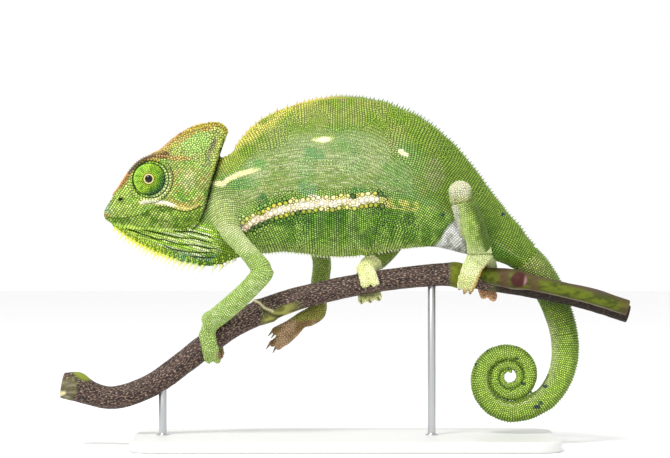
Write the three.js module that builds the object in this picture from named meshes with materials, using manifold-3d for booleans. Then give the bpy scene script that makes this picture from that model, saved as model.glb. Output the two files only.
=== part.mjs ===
// A still, life-size model of a female veiled chameleon gripping a short forked perch, on a plain display stand.
// Millimetres. +Z is up, the head points to -X, and the animal's left side faces -Y.
// The origin is the middle of the stand's underside.
import * as THREE from "three";
import { mergeVertices } from "three/addons/utils/BufferGeometryUtils.js";
import Module from "manifold-3d";

const wasm = await Module();
wasm.setup();

// ---------- Driving dimensions ----------
const GAP = 0.3; // clearance between pieces that meet
const FINE_STEP = 0.08; // finer relief than this is left out of the surfaces
const FOOT_STEP = 0.2; // and than this of the feet
const LEFT = -1; // the side of Y that the animal's left half lies on
const RIGHT = 1;

// Stand
const BASE = { length: 190, width: 84, thick: 5, corner: 12 };
const ROD_RADIUS = 1.8;
const ROD_SOCKET_DEPTH = 2.5; // how far a rod's top lies above the branch's underside
const ROD_PLACES = [-82, 39]; // X of each rod

// Perch: the line of each stem as [x, y, z, radius]
const BRANCH = [
  [-127, 0, 27.4, 5.6],
  [-121.5, 0, 26.4, 5.9],
  [-114, 0, 23.6, 5.2],
  [-105.5, 0, 21.8, 5.0],
  [-96, 0, 23.6, 5.1],
  [-84, 0, 29.2, 5.2],
  [-70, 0, 39.6, 5.3],
  [-52, 0, 53.2, 5.3],
  [-38.5, 0, 60.2, 5.5],
  [-26.5, 0, 65, 5.1],
  [-6, 0, 70.2, 5.0],
  [18, 0, 74.6, 4.9],
  [43, 0, 77.2, 5.1],
  [53, 0, 76.6, 5.2],
  [70, -0.6, 73.0, 3.9],
  [88, -2.2, 69.6, 3.5],
  [107, -2.6, 65.4, 3.6],
  [127, -2.6, 59.6, 3.9],
];
const SHOOT = [
  [60, -1.6, 77.4, 3.2],
  [67, -4, 76.4, 3.9],
  [75, -6.6, 75.2, 4.4],
  [83, -8.6, 73.8, 3.5],
  [97, -9.6, 70.8, 3.4],
  [111, -9.8, 67.2, 3.4],
  [126, -9.6, 62.6, 3.5],
];

// Trunk: [x, y, z, half height, half width, pitch in degrees] of each cross-section's middle, from the neck to
// the root of the tail. Pitch turns the section with the body's own line.
const BODY = [
  [-66, 0, 108, 12, 7.5, 4],
  [-56, 0, 108.4, 20.4, 9.2, 4],
  [-50.6, 0, 109.4, 22.6, 10.4, 2],
  [-45.4, 0, 112.6, 26.4, 11.6, 2],
  [-38, 0, 116.4, 30.0, 12.6, 2],
  [-27, 0, 119.7, 32.4, 13.6, 2],
  [-13.5, 0, 120.8, 35.2, 14.4, 0],
  [0, 0, 121, 36, 14.6, 0],
  [13.5, 0, 121, 34.8, 14.2, -3],
  [26, 0, 118.8, 31.2, 13.2, -9],
  [38.4, 0, 113.9, 26.1, 11.8, -18],
  [51, 0, 105.6, 18.8, 10, -31],
  [62, 0.2, 97, 13.8, 8.6, -40],
  [72.6, 1, 91, 10, 7.2, -45],
  [81.4, 3.4, 84.8, 7.7, 6.5, -50],
  [88, 6.4, 76.6, 7, 6.2, -52],
];
const NECK_END = 3.4; // where the trunk starts, counted in stations of BODY
const WIDEST = 0.42; // height of the widest level of the trunk, as a share from the belly up
const KEEL = 0.72; // 0.5 is an oval section, 1 comes to a sharp edge along back and belly

// Tail: [x, y, z, half thickness, half width] down to the coil, then a spiral that shrinks by COIL.shrink each turn.
const TAIL = [
  [81.4, 3.4, 84.8, 7.7, 6.5],
  [89.4, 7, 75, 6.9, 6.2],
  [95.2, 9.6, 63.6, 6.5, 5.9],
  [98.6, 9.6, 53.4, 6.3, 5.7],
  [99.8, 8.6, 44, 6.1, 5.5],
  [98.8, 7.6, 35, 5.8, 5.3],
  [95.2, 6.8, 26.6, 5.5, 5.1],
  [89.4, 6.2, 20, 5.2, 4.9],
  [82.2, 6, 16.2, 4.9, 4.6],
];
const COIL = { x: 74.2, y: 6, z: 30.9, radius: 16, shrink: 0.505, turns: 2.6, thick: 0.282, flat: 0.95 };
const TAIL_CUTS = [0, 0.2, 0.37, 0.53, 0.69, 0.83, 1]; // ends of the tail's lengths, as shares of its line
const TAIL_SEAM = 0.0006; // share of the tail's line left open at each end of a length
const TAIL_RINGS = [8, 8, 9, 9, 9, 9]; // cross-sections of each length

// Head: [x, crown z, crest half width, brow z, brow half width, cheek z, cheek half width, jaw z, jaw half width, chin z]
const HEAD = [
  [-108.3, 106.2, 0.8, 105.6, 1.3, 104.4, 1.7, 103.0, 1.3, 102.5],
  [-106, 110.1, 1.6, 109.2, 2.9, 105.2, 4.0, 102.0, 3.0, 100.8],
  [-102, 116.5, 2.2, 115.2, 4.2, 107.0, 5.9, 100.6, 4.8, 98.8],
  [-97.5, 123.2, 2.6, 121.8, 5.2, 108.6, 7.4, 100.2, 6.2, 98.0],
  [-93, 128.1, 2.9, 127.2, 6.1, 110.0, 9.0, 100.0, 7.6, 97.3],
  [-88, 130.8, 3.0, 130.0, 6.9, 110.8, 10.5, 99.8, 9.0, 96.6],
  [-83, 133.2, 2.0, 129.8, 7.3, 111.2, 11.6, 99.6, 10.0, 96.2],
  [-77, 139.0, 1.3, 129.0, 7.4, 111.6, 12.3, 100.0, 10.7, 96.2],
  [-71, 142.9, 1.0, 128.4, 7.1, 112.4, 12.4, 101.0, 10.8, 98.2],
  [-66, 145.2, 0.9, 128.6, 6.5, 114.2, 11.4, 103.8, 9.8, 101.4],
  [-62.6, 145.9, 0.9, 129.4, 6.0, 117.6, 10.0, 110.0, 8.0, 107.4],
  [-60, 146.1, 0.9, 131.4, 5.3, 123.4, 7.6, 119.2, 5.8, 117.8],
  [-57.4, 146.0, 0.9, 134.8, 4.2, 130.4, 5.2, 127.8, 4.0, 126.8],
  [-54.8, 145.2, 0.8, 139.4, 2.5, 137.0, 2.8, 135.2, 2.0, 134.4],
  [-52.6, 142.4, 0.5, 141.9, 0.7, 141.5, 0.8, 141.1, 0.6, 140.8],
];
const HEAD_RINGS = 20; // cross-sections of the head
const CASQUE_LEVEL = 129.6; // the casque is the part of the head above this
const CASQUE_FRONT = -84.5;
const MOUTH = [
  [-110, 103.2],
  [-104, 102.6],
  [-97.5, 102.9],
  [-90.5, 104.2],
  [-86.5, 106.4],
  [-80, 107.6],
  [-74.5, 106.0],
  [-69.5, 105.6],
  [-64, 108.4],
]; // the line where the jaws part, as [x, z]
const EYE = { x: -87.6, z: 120, turret: 7.1, reach: 13.4, depth: 6.2, tilt: 8, ball: 2.5 };

// Throat: [x, top z, crest z, half width] of the pouch under the jaw
const THROAT = [
  [-105, 101, 99.2, 0.9],
  [-99, 100.4, 94.8, 2.6],
  [-91.5, 100, 90.0, 4.6],
  [-83.5, 100, 86.6, 6.4],
  [-76, 100.6, 83.6, 7.6],
  [-68.5, 102, 81.4, 8.4],
  [-62.5, 104, 80.6, 8.6],
  [-56.5, 105, 81.4, 8.6],
  [-51, 104, 83.2, 8.4],
  [-46, 100, 85.6, 7.4],
];
const THROAT_SPINES = { count: 22, from: -103.5, to: -47.5, length: 2.6, root: 0.85, lean: 0.35 };

// Limbs: the line of each part as [x, y, z, radius], the upper part from inside the body to the elbow or knee and
// the lower part from there to the wrist or ankle
const ARM_LEFT = {
  upper: [
    [-56, -4, 108, 6.6],
    [-52, -11, 97.6, 5.0],
    [-44.5, -15.6, 89, 4.2],
    [-37, -18, 80.4, 4.7],
  ],
  lower: [
    [-36.2, -18.4, 78.4, 4.9],
    [-42.4, -17.6, 71.4, 4.7],
    [-50.6, -14.6, 63.8, 4.8],
    [-58, -9, 57.8, 4.7],
  ],
};
const ARM_RIGHT = {
  upper: [
    [-54, 4, 106, 6.6],
    [-42, 13, 99, 4.9],
    [-28, 17.6, 94.6, 4.2],
    [-15, 18.8, 92, 4.6],
  ],
  lower: [
    [-13.4, 18.6, 91.4, 4.7],
    [-10.6, 17, 84, 4.5],
    [-11, 14.4, 75.4, 4.5],
    [-12.2, 11, 65, 4.4],
  ],
};
const LEG_LEFT = {
  upper: [
    [59, -3, 95, 6.8],
    [55.6, -12, 100.6, 5.8],
    [52.4, -18.6, 107.4, 5.1],
    [50.8, -21.2, 112.8, 5.2],
  ],
  lower: [
    [50.8, -21.4, 113.8, 5.3],
    [54.8, -20, 106.2, 4.7],
    [57.8, -16.8, 97.6, 5.3],
    [60, -11.2, 89.4, 5.6],
  ],
};
const LEG_RIGHT = {
  upper: [
    [60, 4, 98, 7.0],
    [49, 13, 100.6, 5.6],
    [38.6, 18, 102, 4.8],
    [31.4, 19.4, 102.4, 4.8],
  ],
  lower: [
    [30.2, 19.2, 101.4, 4.8],
    [24.6, 16.2, 93.6, 4.4],
    [18.8, 11, 87, 4.6],
    [13.6, 6, 82.6, 4.7],
  ],
};
const CLAW = { length: 2.3, radius: 0.62, hook: 0.9 };

// ---------- Shaping tools ----------
const vector = (x, y, z) => new THREE.Vector3(x, y, z);
const toPoint = (row) => vector(row[0], row[1], row[2]);
const mix = THREE.MathUtils.lerp;
const radians = THREE.MathUtils.degToRad;
const shares = (count, from = 0, to = 1) => Array.from({ length: count }, (_, i) => mix(from, to, i / (count - 1)));

// One column of a table as a smooth function of the share from its first row to its last.
function along(table, column) {
  const curve = new THREE.CatmullRomCurve3(
    table.map((row, i) => vector(i, row[column], 0)),
    false,
    "catmullrom",
    0.5,
  );
  return (share) => curve.getPoint(THREE.MathUtils.clamp(share, 0, 1)).y;
}

// A closed geometry through rings of equally many points, with a flat fan on each end.
function loft(rings) {
  const sides = rings[0].length;
  const middle = (ring) => ring.reduce((sum, p) => sum.add(p), vector(0, 0, 0)).divideScalar(sides);
  const points = [...rings.flat(), middle(rings[0]), middle(rings.at(-1))];
  const start = rings.length * sides;
  const faces = [];
  for (let side = 0; side < sides; side++) {
    const next = (side + 1) % sides;
    faces.push(start, next, side);
    const last = start - sides;
    faces.push(start + 1, last + side, last + next);
    for (let ring = 0; ring < rings.length - 1; ring++) {
      const here = ring * sides;
      faces.push(here + side, here + next, here + sides + next);
      faces.push(here + side, here + sides + next, here + sides + side);
    }
  }
  const geometry = new THREE.BufferGeometry().setFromPoints(points);
  geometry.setIndex(faces);
  return geometry;
}

// A geometry as a solid that can be joined and cut. It is turned the right way out if it isn't already.
function solid(geometry) {
  const bare = geometry.clone();
  bare.deleteAttribute("normal");
  bare.deleteAttribute("uv");
  const merged = mergeVertices(bare, 1e-4);
  const positions = merged.attributes.position.array;
  const faces = new Uint32Array(merged.index.array);
  const make = () => new wasm.Manifold(new wasm.Mesh({ numProp: 3, vertProperties: positions, triVerts: faces }));
  const made = make();
  if (made.volume() > 0) return made;
  for (let i = 0; i < faces.length; i += 3) [faces[i + 1], faces[i + 2]] = [faces[i + 2], faces[i + 1]];
  return make();
}

const joined = (pieces) => pieces.reduce((all, piece) => all.add(piece));
const cutBy = (piece, others) => others.reduce((left, other) => left.subtract(other), piece);
const largest = (piece) => piece.decompose().sort((a, b) => b.volume() - a.volume())[0];

// An oval ring round a point, square to a direction. wide is the ring's half size along side, deep the other.
function ovalRing(point, direction, side, wide, deep, sides) {
  const across = side.clone().addScaledVector(direction, -side.dot(direction)).normalize();
  const outward = new THREE.Vector3().crossVectors(direction, across);
  return shares(sides + 1)
    .slice(0, -1)
    .map((share) => {
      const angle = share * 2 * Math.PI;
      return point
        .clone()
        .addScaledVector(across, wide * Math.cos(angle))
        .addScaledVector(outward, deep * Math.sin(angle));
    });
}

// A round tube along rows of [x, y, z, radius], with a rounded end where round says so.
function tube(rows, { rings = 6, sides = 8, grow = 0, round = [false, false] } = {}) {
  const curve = new THREE.CatmullRomCurve3(rows.map(toPoint));
  const radius = along(rows, 3);
  const list = [];
  for (const share of shares(rings)) {
    const direction = curve.getTangent(share);
    const side = Math.abs(direction.y) > 0.9 ? vector(1, 0, 0) : vector(0, 1, 0);
    list.push({ point: curve.getPoint(share), direction, side, radius: radius(share) + grow });
  }
  const shaped = list.map((r) => ovalRing(r.point, r.direction, r.side, r.radius, r.radius, sides));
  const dome = (end, sense) =>
    [0.7].map((reach) =>
      ovalRing(
        end.point.clone().addScaledVector(end.direction, sense * end.radius * reach),
        end.direction,
        end.side,
        end.radius * Math.sqrt(1 - reach * reach),
        end.radius * Math.sqrt(1 - reach * reach),
        sides,
      ),
    );
  if (round[0]) shaped.unshift(...dome(list[0], -1).reverse());
  if (round[1]) shaped.push(...dome(list.at(-1), 1));
  return solid(loft(shaped));
}

// ---------- Trunk, neck and tail ----------
// A leaf-shaped section: widest below its middle and keeled along back and belly.
function leafRing(centre, pitch, half, width, sides) {
  const up = vector(-Math.sin(pitch), 0, Math.cos(pitch));
  return shares(sides + 1)
    .slice(0, -1)
    .map((share) => {
      const angle = share * 2 * Math.PI;
      const height = (1 - Math.cos(angle)) / 2;
      const level = Math.pow(height, Math.log(0.5) / Math.log(WIDEST));
      const out = Math.sign(Math.sin(angle)) * width * Math.pow(Math.abs(Math.sin(Math.PI * level)), KEEL);
      return centre
        .clone()
        .addScaledVector(up, (2 * height - 1) * half)
        .add(vector(0, out, 0));
    });
}

function bodyLength(fromStation, toStation, rings, grow = 0, sides = 18) {
  const last = BODY.length - 1;
  const curve = new THREE.CatmullRomCurve3(BODY.map(toPoint));
  const [half, width, pitch] = [3, 4, 5].map((column) => along(BODY, column));
  return solid(
    loft(
      shares(rings, fromStation / last, toStation / last).map((share) =>
        leafRing(curve.getPoint(share), radians(pitch(share)), half(share) + grow, width(share) + grow, sides),
      ),
    ),
  );
}

// The tail's whole line, as rows of [x, y, z, half thickness, half width].
function tailLine() {
  const coil = [];
  const steps = Math.round(COIL.turns * 12);
  for (let step = 0; step <= steps; step++) {
    const turn = step / 12;
    const angle = -Math.PI / 2 - turn * 2 * Math.PI;
    const radius = COIL.radius * Math.pow(COIL.shrink, turn);
    const thick = Math.max(radius * COIL.thick, 0.9);
    coil.push([COIL.x + radius * Math.cos(angle), COIL.y, COIL.z + radius * Math.sin(angle), thick, thick * COIL.flat]);
  }
  return [...TAIL, ...coil];
}

// Cuts a solid off square to the start of the tail.
function beforeTail(piece) {
  const start = toPoint(TAIL[0]);
  const way = new THREE.CatmullRomCurve3(tailLine().map(toPoint)).getTangent(0);
  return piece.trimByPlane(way.clone().negate().toArray(), GAP / 2 - way.dot(start));
}

function tailLengths() {
  const rows = tailLine();
  const curve = new THREE.CatmullRomCurve3(rows.map(toPoint));
  const [thick, width] = [3, 4].map((column) => along(rows, column));
  return TAIL_CUTS.slice(1).map((cut, i) => {
    const sides = i < 2 ? 12 : 9;
    const list = shares(TAIL_RINGS[i], TAIL_CUTS[i] + TAIL_SEAM, cut - TAIL_SEAM).map((share) => {
      const size = [width(share), thick(share)];
      return ovalRing(curve.getPoint(share), curve.getTangent(share), vector(0, 1, 0), ...size, sides);
    });
    return solid(loft(list));
  });
}

// ---------- Head ----------
function headRing(row, grow) {
  const [x, crown, crestWide, brow, browWide, cheek, cheekWide, jaw, jawWide, chin] = row;
  const half = [
    [0, crown],
    [crestWide, mix(crown, brow, 0.12)],
    [mix(crestWide, browWide, 0.55), mix(crown, brow, 0.6)],
    [browWide, brow],
    [mix(browWide, cheekWide, 0.7), mix(brow, cheek, 0.45)],
    [cheekWide, cheek],
    [mix(cheekWide, jawWide, 0.4), mix(cheek, jaw, 0.55)],
    [jawWide, jaw],
    [jawWide * 0.62, mix(jaw, chin, 0.75)],
    [0, chin],
  ];
  const middle = (brow + chin) / 2;
  const swell = ([y, z]) => vector(x, y ? y + grow : 0, z + grow * Math.sign(z - middle));
  const other = half.slice(1, -1).reverse().map(([y, z]) => [-y, z]);
  const mirrored = other.map(([y, z]) => vector(x, y - grow, z + grow * Math.sign(z - middle)));
  return [...half.map(swell), ...mirrored];
}

function headWhole(grow = 0) {
  const columns = HEAD[0].map((_, column) => along(HEAD, column));
  const rings = shares(HEAD_RINGS).map((share) => {
    const row = columns.map((value) => value(share));
    row[1] = Math.max(row[1], row[3] + 0.1);
    return headRing(row, grow);
  });
  return solid(loft(rings));
}

// Everything below a line of [x, z] points, across the whole width of the head.
function below(line, shift) {
  const depth = 60;
  const bottom = 60;
  const shape = new THREE.Shape();
  shape.moveTo(line[0][0], bottom);
  shape.lineTo(line.at(-1)[0], bottom);
  shape.lineTo(line.at(-1)[0], line.at(-1)[1] + shift);
  shape.splineThru(line.slice(0, -1).reverse().map(([x, z]) => new THREE.Vector2(x, z + shift)));
  const block = new THREE.ExtrudeGeometry(shape, { depth, bevelEnabled: false, curveSegments: 2 });
  block.rotateX(Math.PI / 2).translate(0, depth / 2, 0);
  return solid(block);
}

// The turret of an eye: a low cone of fused lids, as a squashed sphere that looks outwards.
function turret(side, grow = 0) {
  const ball = new THREE.SphereGeometry(1, 14, 7);
  ball.rotateX(Math.PI / 2);
  ball.scale(EYE.turret + grow, EYE.depth + grow, EYE.turret + grow);
  ball.rotateZ(radians(EYE.tilt) * -side);
  return solid(ball.translate(EYE.x, side * (EYE.reach - EYE.depth), EYE.z));
}

function eyeball(side, grow = 0) {
  const ball = new THREE.SphereGeometry(EYE.ball + grow, 10, 7);
  return solid(ball.translate(EYE.x + 0.2, side * (EYE.reach - EYE.ball + 0.45), EYE.z));
}

function throatRing(row, grow) {
  const [x, top, crest, width] = row;
  const sides = 12;
  return shares(sides + 1)
    .slice(0, -1)
    .map((share) => {
      const angle = share * 2 * Math.PI;
      const height = (1 - Math.cos(angle)) / 2;
      const out = Math.sin(angle) * Math.pow(height, 0.45) * 1.15;
      return vector(x, out * (width + grow), mix(crest - grow, top + grow, height));
    });
}

function throatPouch(grow = 0) {
  const columns = THROAT[0].map((_, column) => along(THROAT, column));
  return solid(loft(shares(12).map((share) => throatRing(columns.map((value) => value(share)), grow))));
}

// The row of soft spines that hangs from the throat's edge.
function throatSpines() {
  const crest = along(THROAT, 2);
  const place = along(THROAT, 0);
  return shares(THROAT_SPINES.count).map((share, i) => {
    const x = mix(THROAT_SPINES.from, THROAT_SPINES.to, share);
    const nearest = shares(200).reduce((best, s) => (Math.abs(place(s) - x) < Math.abs(place(best) - x) ? s : best), 0);
    const length = THROAT_SPINES.length * (0.75 + 0.25 * Math.sin(Math.PI * share)) * (i % 2 ? 0.8 : 1);
    const spine = new THREE.ConeGeometry(THROAT_SPINES.root, length + 1.4, 4);
    spine.rotateX(Math.PI).rotateY(THROAT_SPINES.lean).translate(0, -length / 2 + 0.7, 0).rotateX(Math.PI / 2);
    spine.rotateY(-THROAT_SPINES.lean * mix(-1.2, 0.6, share));
    return solid(spine.translate(x, 0, crest(nearest) + 0.1));
  });
}

// ---------- Feet ----------
// A foot closes round its perch like tongs, with a bundle of toes on each side, grown together but for their tips.
// centre is on the perch's line, up points from there to the wrist, runs lies along the perch, and round holds the
// perch's half sizes along Y and up. Each bundle has its side of Y, the angles from up at which it starts and ends, and
// the shift along the perch at both.
function gripping({ wrist, centre, up, runs, round, palm, bundles }) {
  const place = (side, angle, shift, lift) =>
    vector(...centre)
      .addScaledVector(vector(0, 1, 0), side * Math.sin(radians(angle)) * (round[0] + lift))
      .addScaledVector(up, Math.cos(radians(angle)) * (round[1] + lift))
      .addScaledVector(runs, shift);
  const palmEnd = place(0, 0, 0, palm * 0.7).lerp(vector(...wrist), 0.15);
  const palmRows = [
    [...wrist, palm],
    [...palmEnd.toArray(), palm * 0.85],
  ];
  const flesh = [tube(palmRows, { rings: 3, round: [false, true] })];
  const claws = [];
  for (const { side, toes, spread, angles, shifts, thick, stagger = 6 } of bundles) {
    const [start, end] = angles;
    const lift = thick + GAP;
    const shiftAt = (angle) => mix(shifts[0], shifts[1], (angle - start) / (end - start));
    const merged = shares(4, start, mix(start, end, 0.62)).map((angle) => place(side, angle, shiftAt(angle), lift));
    const curve = new THREE.CatmullRomCurve3([vector(...wrist), ...merged]);
    const rings = shares(4).map((share) => {
      const wide = mix(palm, (spread * (toes - 1)) / 2 + thick, Math.min(1, share * 1.6));
      const deep = mix(palm * 0.9, thick, Math.min(1, share * 1.5));
      return ovalRing(curve.getPoint(share), curve.getTangent(share), runs, wide, deep, 7);
    });
    flesh.push(solid(loft(rings)));
    for (let toe = 0; toe < toes; toe++) {
      const aside = (toe - (toes - 1) / 2) * spread;
      const reach = end - (Math.abs(aside) / spread) * stagger;
      const toeAt = (angle, out) => place(side, angle, shiftAt(angle) + aside * (0.9 + (0.25 * angle) / end), out);
      const path = shares(3, mix(start, end, 0.5), reach).map((angle) => [...toeAt(angle, lift).toArray(), thick]);
      flesh.push(tube(path, { rings: 3, sides: 5, round: [false, true] }));
      const tip = toeAt(reach + 12, lift + 0.2);
      const direction = toeAt(reach + 26, lift + 0.2).sub(tip).normalize();
      claws.push({ tip, direction, outward: tip.clone().sub(vector(...centre)).normalize() });
    }
  }
  return { flesh: joined(flesh), claws };
}

// A hooked claw that points along direction and curls away from outward.
function claw(tip, direction, outward) {
  const rings = [-0.35, 0.25, 0.8].map((share, i) => {
    const radius = CLAW.radius * [1, 0.85, 0.3][i];
    const point = tip
      .clone()
      .addScaledVector(direction, share * CLAW.length)
      .addScaledVector(outward, -CLAW.hook * share * share);
    return ovalRing(point, direction, outward, radius, radius, 4);
  });
  return solid(loft(rings));
}

// The right forefoot hangs half open under the branch, its toes pointing forwards.
function hangingFoot({ wrist, heel, bundles }) {
  const flesh = [tube([wrist, ...heel], { rings: 5, sides: 8, round: [false, true] })];
  const claws = [];
  for (const { from, tips, thick } of bundles) {
    for (const tip of tips) {
      const bow = from.map((value, i) => mix(value, tip[i], 0.5) - (i === 2 ? 0.6 : 0));
      const rows = [
        [...from, thick * 1.25],
        [...bow, thick * 1.15],
        [...tip, thick],
      ];
      flesh.push(tube(rows, { rings: 3, sides: 6, round: [true, true] }));
      const direction = vector(...tip).sub(vector(...bow)).normalize();
      const reach = vector(...tip).addScaledVector(direction, thick * 0.8);
      claws.push({ tip: reach, direction, outward: vector(0, 0, 1) });
    }
  }
  return { flesh: joined(flesh), claws };
}

// The straight-sided room that a claw's root takes up in its toe.
function clawRoom({ tip, direction, outward }) {
  const size = CLAW.radius + 1.3 * GAP;
  const rings = [-0.35 - GAP / CLAW.length, 1].map((share) => {
    const point = tip.clone().addScaledVector(direction, share * CLAW.length);
    return ovalRing(point, direction, outward, size, size, 4);
  });
  return solid(loft(rings));
}

// ---------- Materials ----------
const paint = (color, roughness, metalness = 0) => new THREE.MeshStandardMaterial({ color, roughness, metalness });
const SKIN = paint(0x7fa83c, 0.7);
const CASQUE = paint(0xa9b04e, 0.7);
const LIDS = paint(0x86b23a, 0.65);
const EYEBALL = paint(0x17120f, 0.08);
const HORN = paint(0x8a7a5c, 0.45);
const BARK = paint(0x54454a, 0.75);
const GREEN_BARK = paint(0x76822f, 0.6);
const PLATE = paint(0xd9d9d6, 0.5);
const STEEL = paint(0xb8bbbe, 0.3, 1);

// ---------- Assembly ----------
const model = new THREE.Group();

function add(name, piece, material, step = FINE_STEP) {
  const { numProp, vertProperties, triVerts } = largest(piece.simplify(step)).getMesh();
  const positions = new Float32Array((vertProperties.length / numProp) * 3);
  for (let i = 0; i < positions.length / 3; i++) {
    positions.set(vertProperties.subarray(i * numProp, i * numProp + 3), i * 3);
  }
  const geometry = new THREE.BufferGeometry().setAttribute("position", new THREE.BufferAttribute(positions, 3));
  geometry.setIndex(new THREE.BufferAttribute(triVerts, 1));
  geometry.computeVertexNormals();
  const mesh = new THREE.Mesh(geometry, material);
  mesh.name = name;
  model.add(mesh);
}

// Stand
function basePlate() {
  const { length, width, thick, corner } = BASE;
  const [x, y] = [length / 2, width / 2];
  const shape = new THREE.Shape();
  shape.moveTo(-x + corner, -y);
  shape.lineTo(x - corner, -y);
  shape.absarc(x - corner, -y + corner, corner, -Math.PI / 2, 0);
  shape.lineTo(x, y - corner);
  shape.absarc(x - corner, y - corner, corner, 0, Math.PI / 2);
  shape.lineTo(-x + corner, y);
  shape.absarc(-x + corner, y - corner, corner, Math.PI / 2, Math.PI);
  shape.lineTo(-x, -y + corner);
  shape.absarc(-x + corner, -y + corner, corner, Math.PI, 1.5 * Math.PI);
  return solid(new THREE.ExtrudeGeometry(shape, { depth: thick, bevelEnabled: false, curveSegments: 5 }));
}

function branchHeight(x) {
  const curve = new THREE.CatmullRomCurve3(BRANCH.map(toPoint));
  const share = shares(400).reduce((best, s) =>
    Math.abs(curve.getPoint(s).x - x) < Math.abs(curve.getPoint(best).x - x) ? s : best,
  );
  return curve.getPoint(share).z - along(BRANCH, 3)(share);
}

function rod(x, radius, bottom, top) {
  const bar = new THREE.CylinderGeometry(radius, radius, top - bottom, 16);
  return solid(bar.rotateX(Math.PI / 2).translate(x, 0, (top + bottom) / 2));
}

const rodTops = ROD_PLACES.map((x) => branchHeight(x) + ROD_SOCKET_DEPTH);
const sockets = ROD_PLACES.map((x, i) => rod(x, ROD_RADIUS + GAP, 0, rodTops[i] + GAP));
add("stand_base", basePlate(), PLATE);
ROD_PLACES.forEach((x, i) => add(`stand_rod_${i ? "rear" : "front"}`, rod(x, ROD_RADIUS, BASE.thick + GAP, rodTops[i]), STEEL));

// Perch
const branchWhole = (grow) => tube(BRANCH, { rings: 24, sides: 9, grow });
const shootWhole = (grow) => tube(SHOOT, { rings: 11, sides: 9, grow });
add("perch_branch", cutBy(branchWhole(0), sockets), BARK);
add("perch_shoot", largest(cutBy(shootWhole(0), [branchWhole(GAP)])), GREEN_BARK);
const perchSpace = [branchWhole(GAP), shootWhole(GAP)];

// Head
const mouthBelow = below(MOUTH, -GAP / 2);
const mouthBelowGrown = below(MOUTH, GAP / 2);
const balls = [LEFT, RIGHT].map((side) => eyeball(side));
const ballSpace = [LEFT, RIGHT].map((side) => eyeball(side, GAP));
const turretSpace = [LEFT, RIGHT].map((side) => turret(side, GAP));
const upperHead = cutBy(headWhole(), [mouthBelowGrown, ...turretSpace]);
const casqueNormal = [0, 0, 1];
add("casque", largest(upperHead.trimByPlane(casqueNormal, CASQUE_LEVEL + GAP / 2).trimByPlane([1, 0, 0], CASQUE_FRONT + GAP / 2)), CASQUE);
const skull = upperHead.subtract(
  upperHead.trimByPlane(casqueNormal, CASQUE_LEVEL - GAP / 2).trimByPlane([1, 0, 0], CASQUE_FRONT - GAP / 2),
);
add("head", largest(skull), SKIN);
const lowerJaw = largest(headWhole().intersect(mouthBelow));
add("lower_jaw", lowerJaw, SKIN);
[LEFT, RIGHT].forEach((side, i) => {
  const name = side === LEFT ? "left" : "right";
  add(`eye_turret_${name}`, cutBy(turret(side), [ballSpace[i]]), LIDS);
  add(`eyeball_${name}`, balls[i], EYEBALL);
});
const headSpace = headWhole(GAP);
add("throat", joined([throatPouch(), ...throatSpines()]).subtract(headSpace), SKIN);
const throatSpace = throatPouch(GAP);

// Neck, trunk and tail
const seam = 0.012; // stations of BODY that a thin cut takes away
add("neck", cutBy(bodyLength(0, NECK_END - seam, 6), [headSpace, throatSpace]), SKIN);
add("trunk", beforeTail(cutBy(bodyLength(NECK_END + seam, BODY.length - 1, 18), [throatSpace])), SKIN);
tailLengths().forEach((length, i) => add(`tail_${i + 1}`, length, SKIN));

// Limbs
const bodySpace = [bodyLength(0, BODY.length - 1, 24, GAP), throatSpace];
function limb(name, { upper, lower }, upperName, lowerName) {
  const upperSpace = tube(upper, { grow: GAP, round: [false, true] });
  const whole = tube(upper, { round: [false, true] });
  const next = tube(lower, { round: [true, false] });
  add(`${upperName}_${name}`, cutBy(whole, bodySpace), SKIN);
  add(`${lowerName}_${name}`, cutBy(next, [upperSpace, ...bodySpace, ...perchSpace]), SKIN);
}
limb("left", ARM_LEFT, "upper_arm", "forearm");
limb("right", ARM_RIGHT, "upper_arm", "forearm");
limb("left", LEG_LEFT, "thigh", "shin");
limb("right", LEG_RIGHT, "thigh", "shin");

// Feet, each starting at its wrist or ankle
function footStart({ lower: rows }) {
  const end = toPoint(rows.at(-1));
  const direction = end.clone().sub(toPoint(rows.at(-2))).normalize();
  return end.addScaledVector(direction, GAP).toArray();
}

function addFoot(name, { flesh, claws }, { upper, lower }) {
  const end = toPoint(lower.at(-1));
  const beyond = end.clone().addScaledVector(end.clone().sub(toPoint(lower.at(-2))).normalize(), GAP);
  const limbSpace = [
    tube([...lower.slice(0, -1), [...beyond.toArray(), lower.at(-1)[3]]], { grow: GAP }),
    tube(upper, { grow: GAP, round: [false, true] }),
  ];
  add(name, cutBy(flesh, [...perchSpace, ...bodySpace, ...limbSpace, ...claws.map(clawRoom)]), SKIN, FOOT_STEP);
  claws.forEach(({ tip, direction, outward }, i) => add(`claw_${name}_${i + 1}`, claw(tip, direction, outward), HORN));
}

addFoot(
  "forefoot_left",
  gripping({
    wrist: footStart(ARM_LEFT),
    centre: [-60.4, 0, 47],
    up: vector(-0.12, 0, 1).normalize(),
    runs: vector(1, 0, 0),
    round: [5.3, 6.6],
    palm: 4.7,
    bundles: [
      { side: LEFT, toes: 2, spread: 3.4, angles: [58, 150], shifts: [-0.9, 0.3], thick: 2.4 },
      { side: RIGHT, toes: 3, spread: 2.6, angles: [36, 138], shifts: [0.2, 0.8], thick: 1.9 },
    ],
  }),
  ARM_LEFT,
);
addFoot(
  "hindfoot_left",
  gripping({
    wrist: footStart(LEG_LEFT),
    centre: [60, -1, 76.4],
    up: vector(0, 0, 1),
    runs: vector(0.98, 0, -0.2),
    round: [6, 5.6],
    palm: 5.2,
    bundles: [
      { side: LEFT, toes: 3, spread: 3.5, angles: [48, 150], shifts: [-1.3, -4.4], thick: 2.2, stagger: 12 },
      { side: RIGHT, toes: 2, spread: 3.8, angles: [36, 150], shifts: [1, 5], thick: 2.4 },
    ],
  }),
  LEG_LEFT,
);
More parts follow.
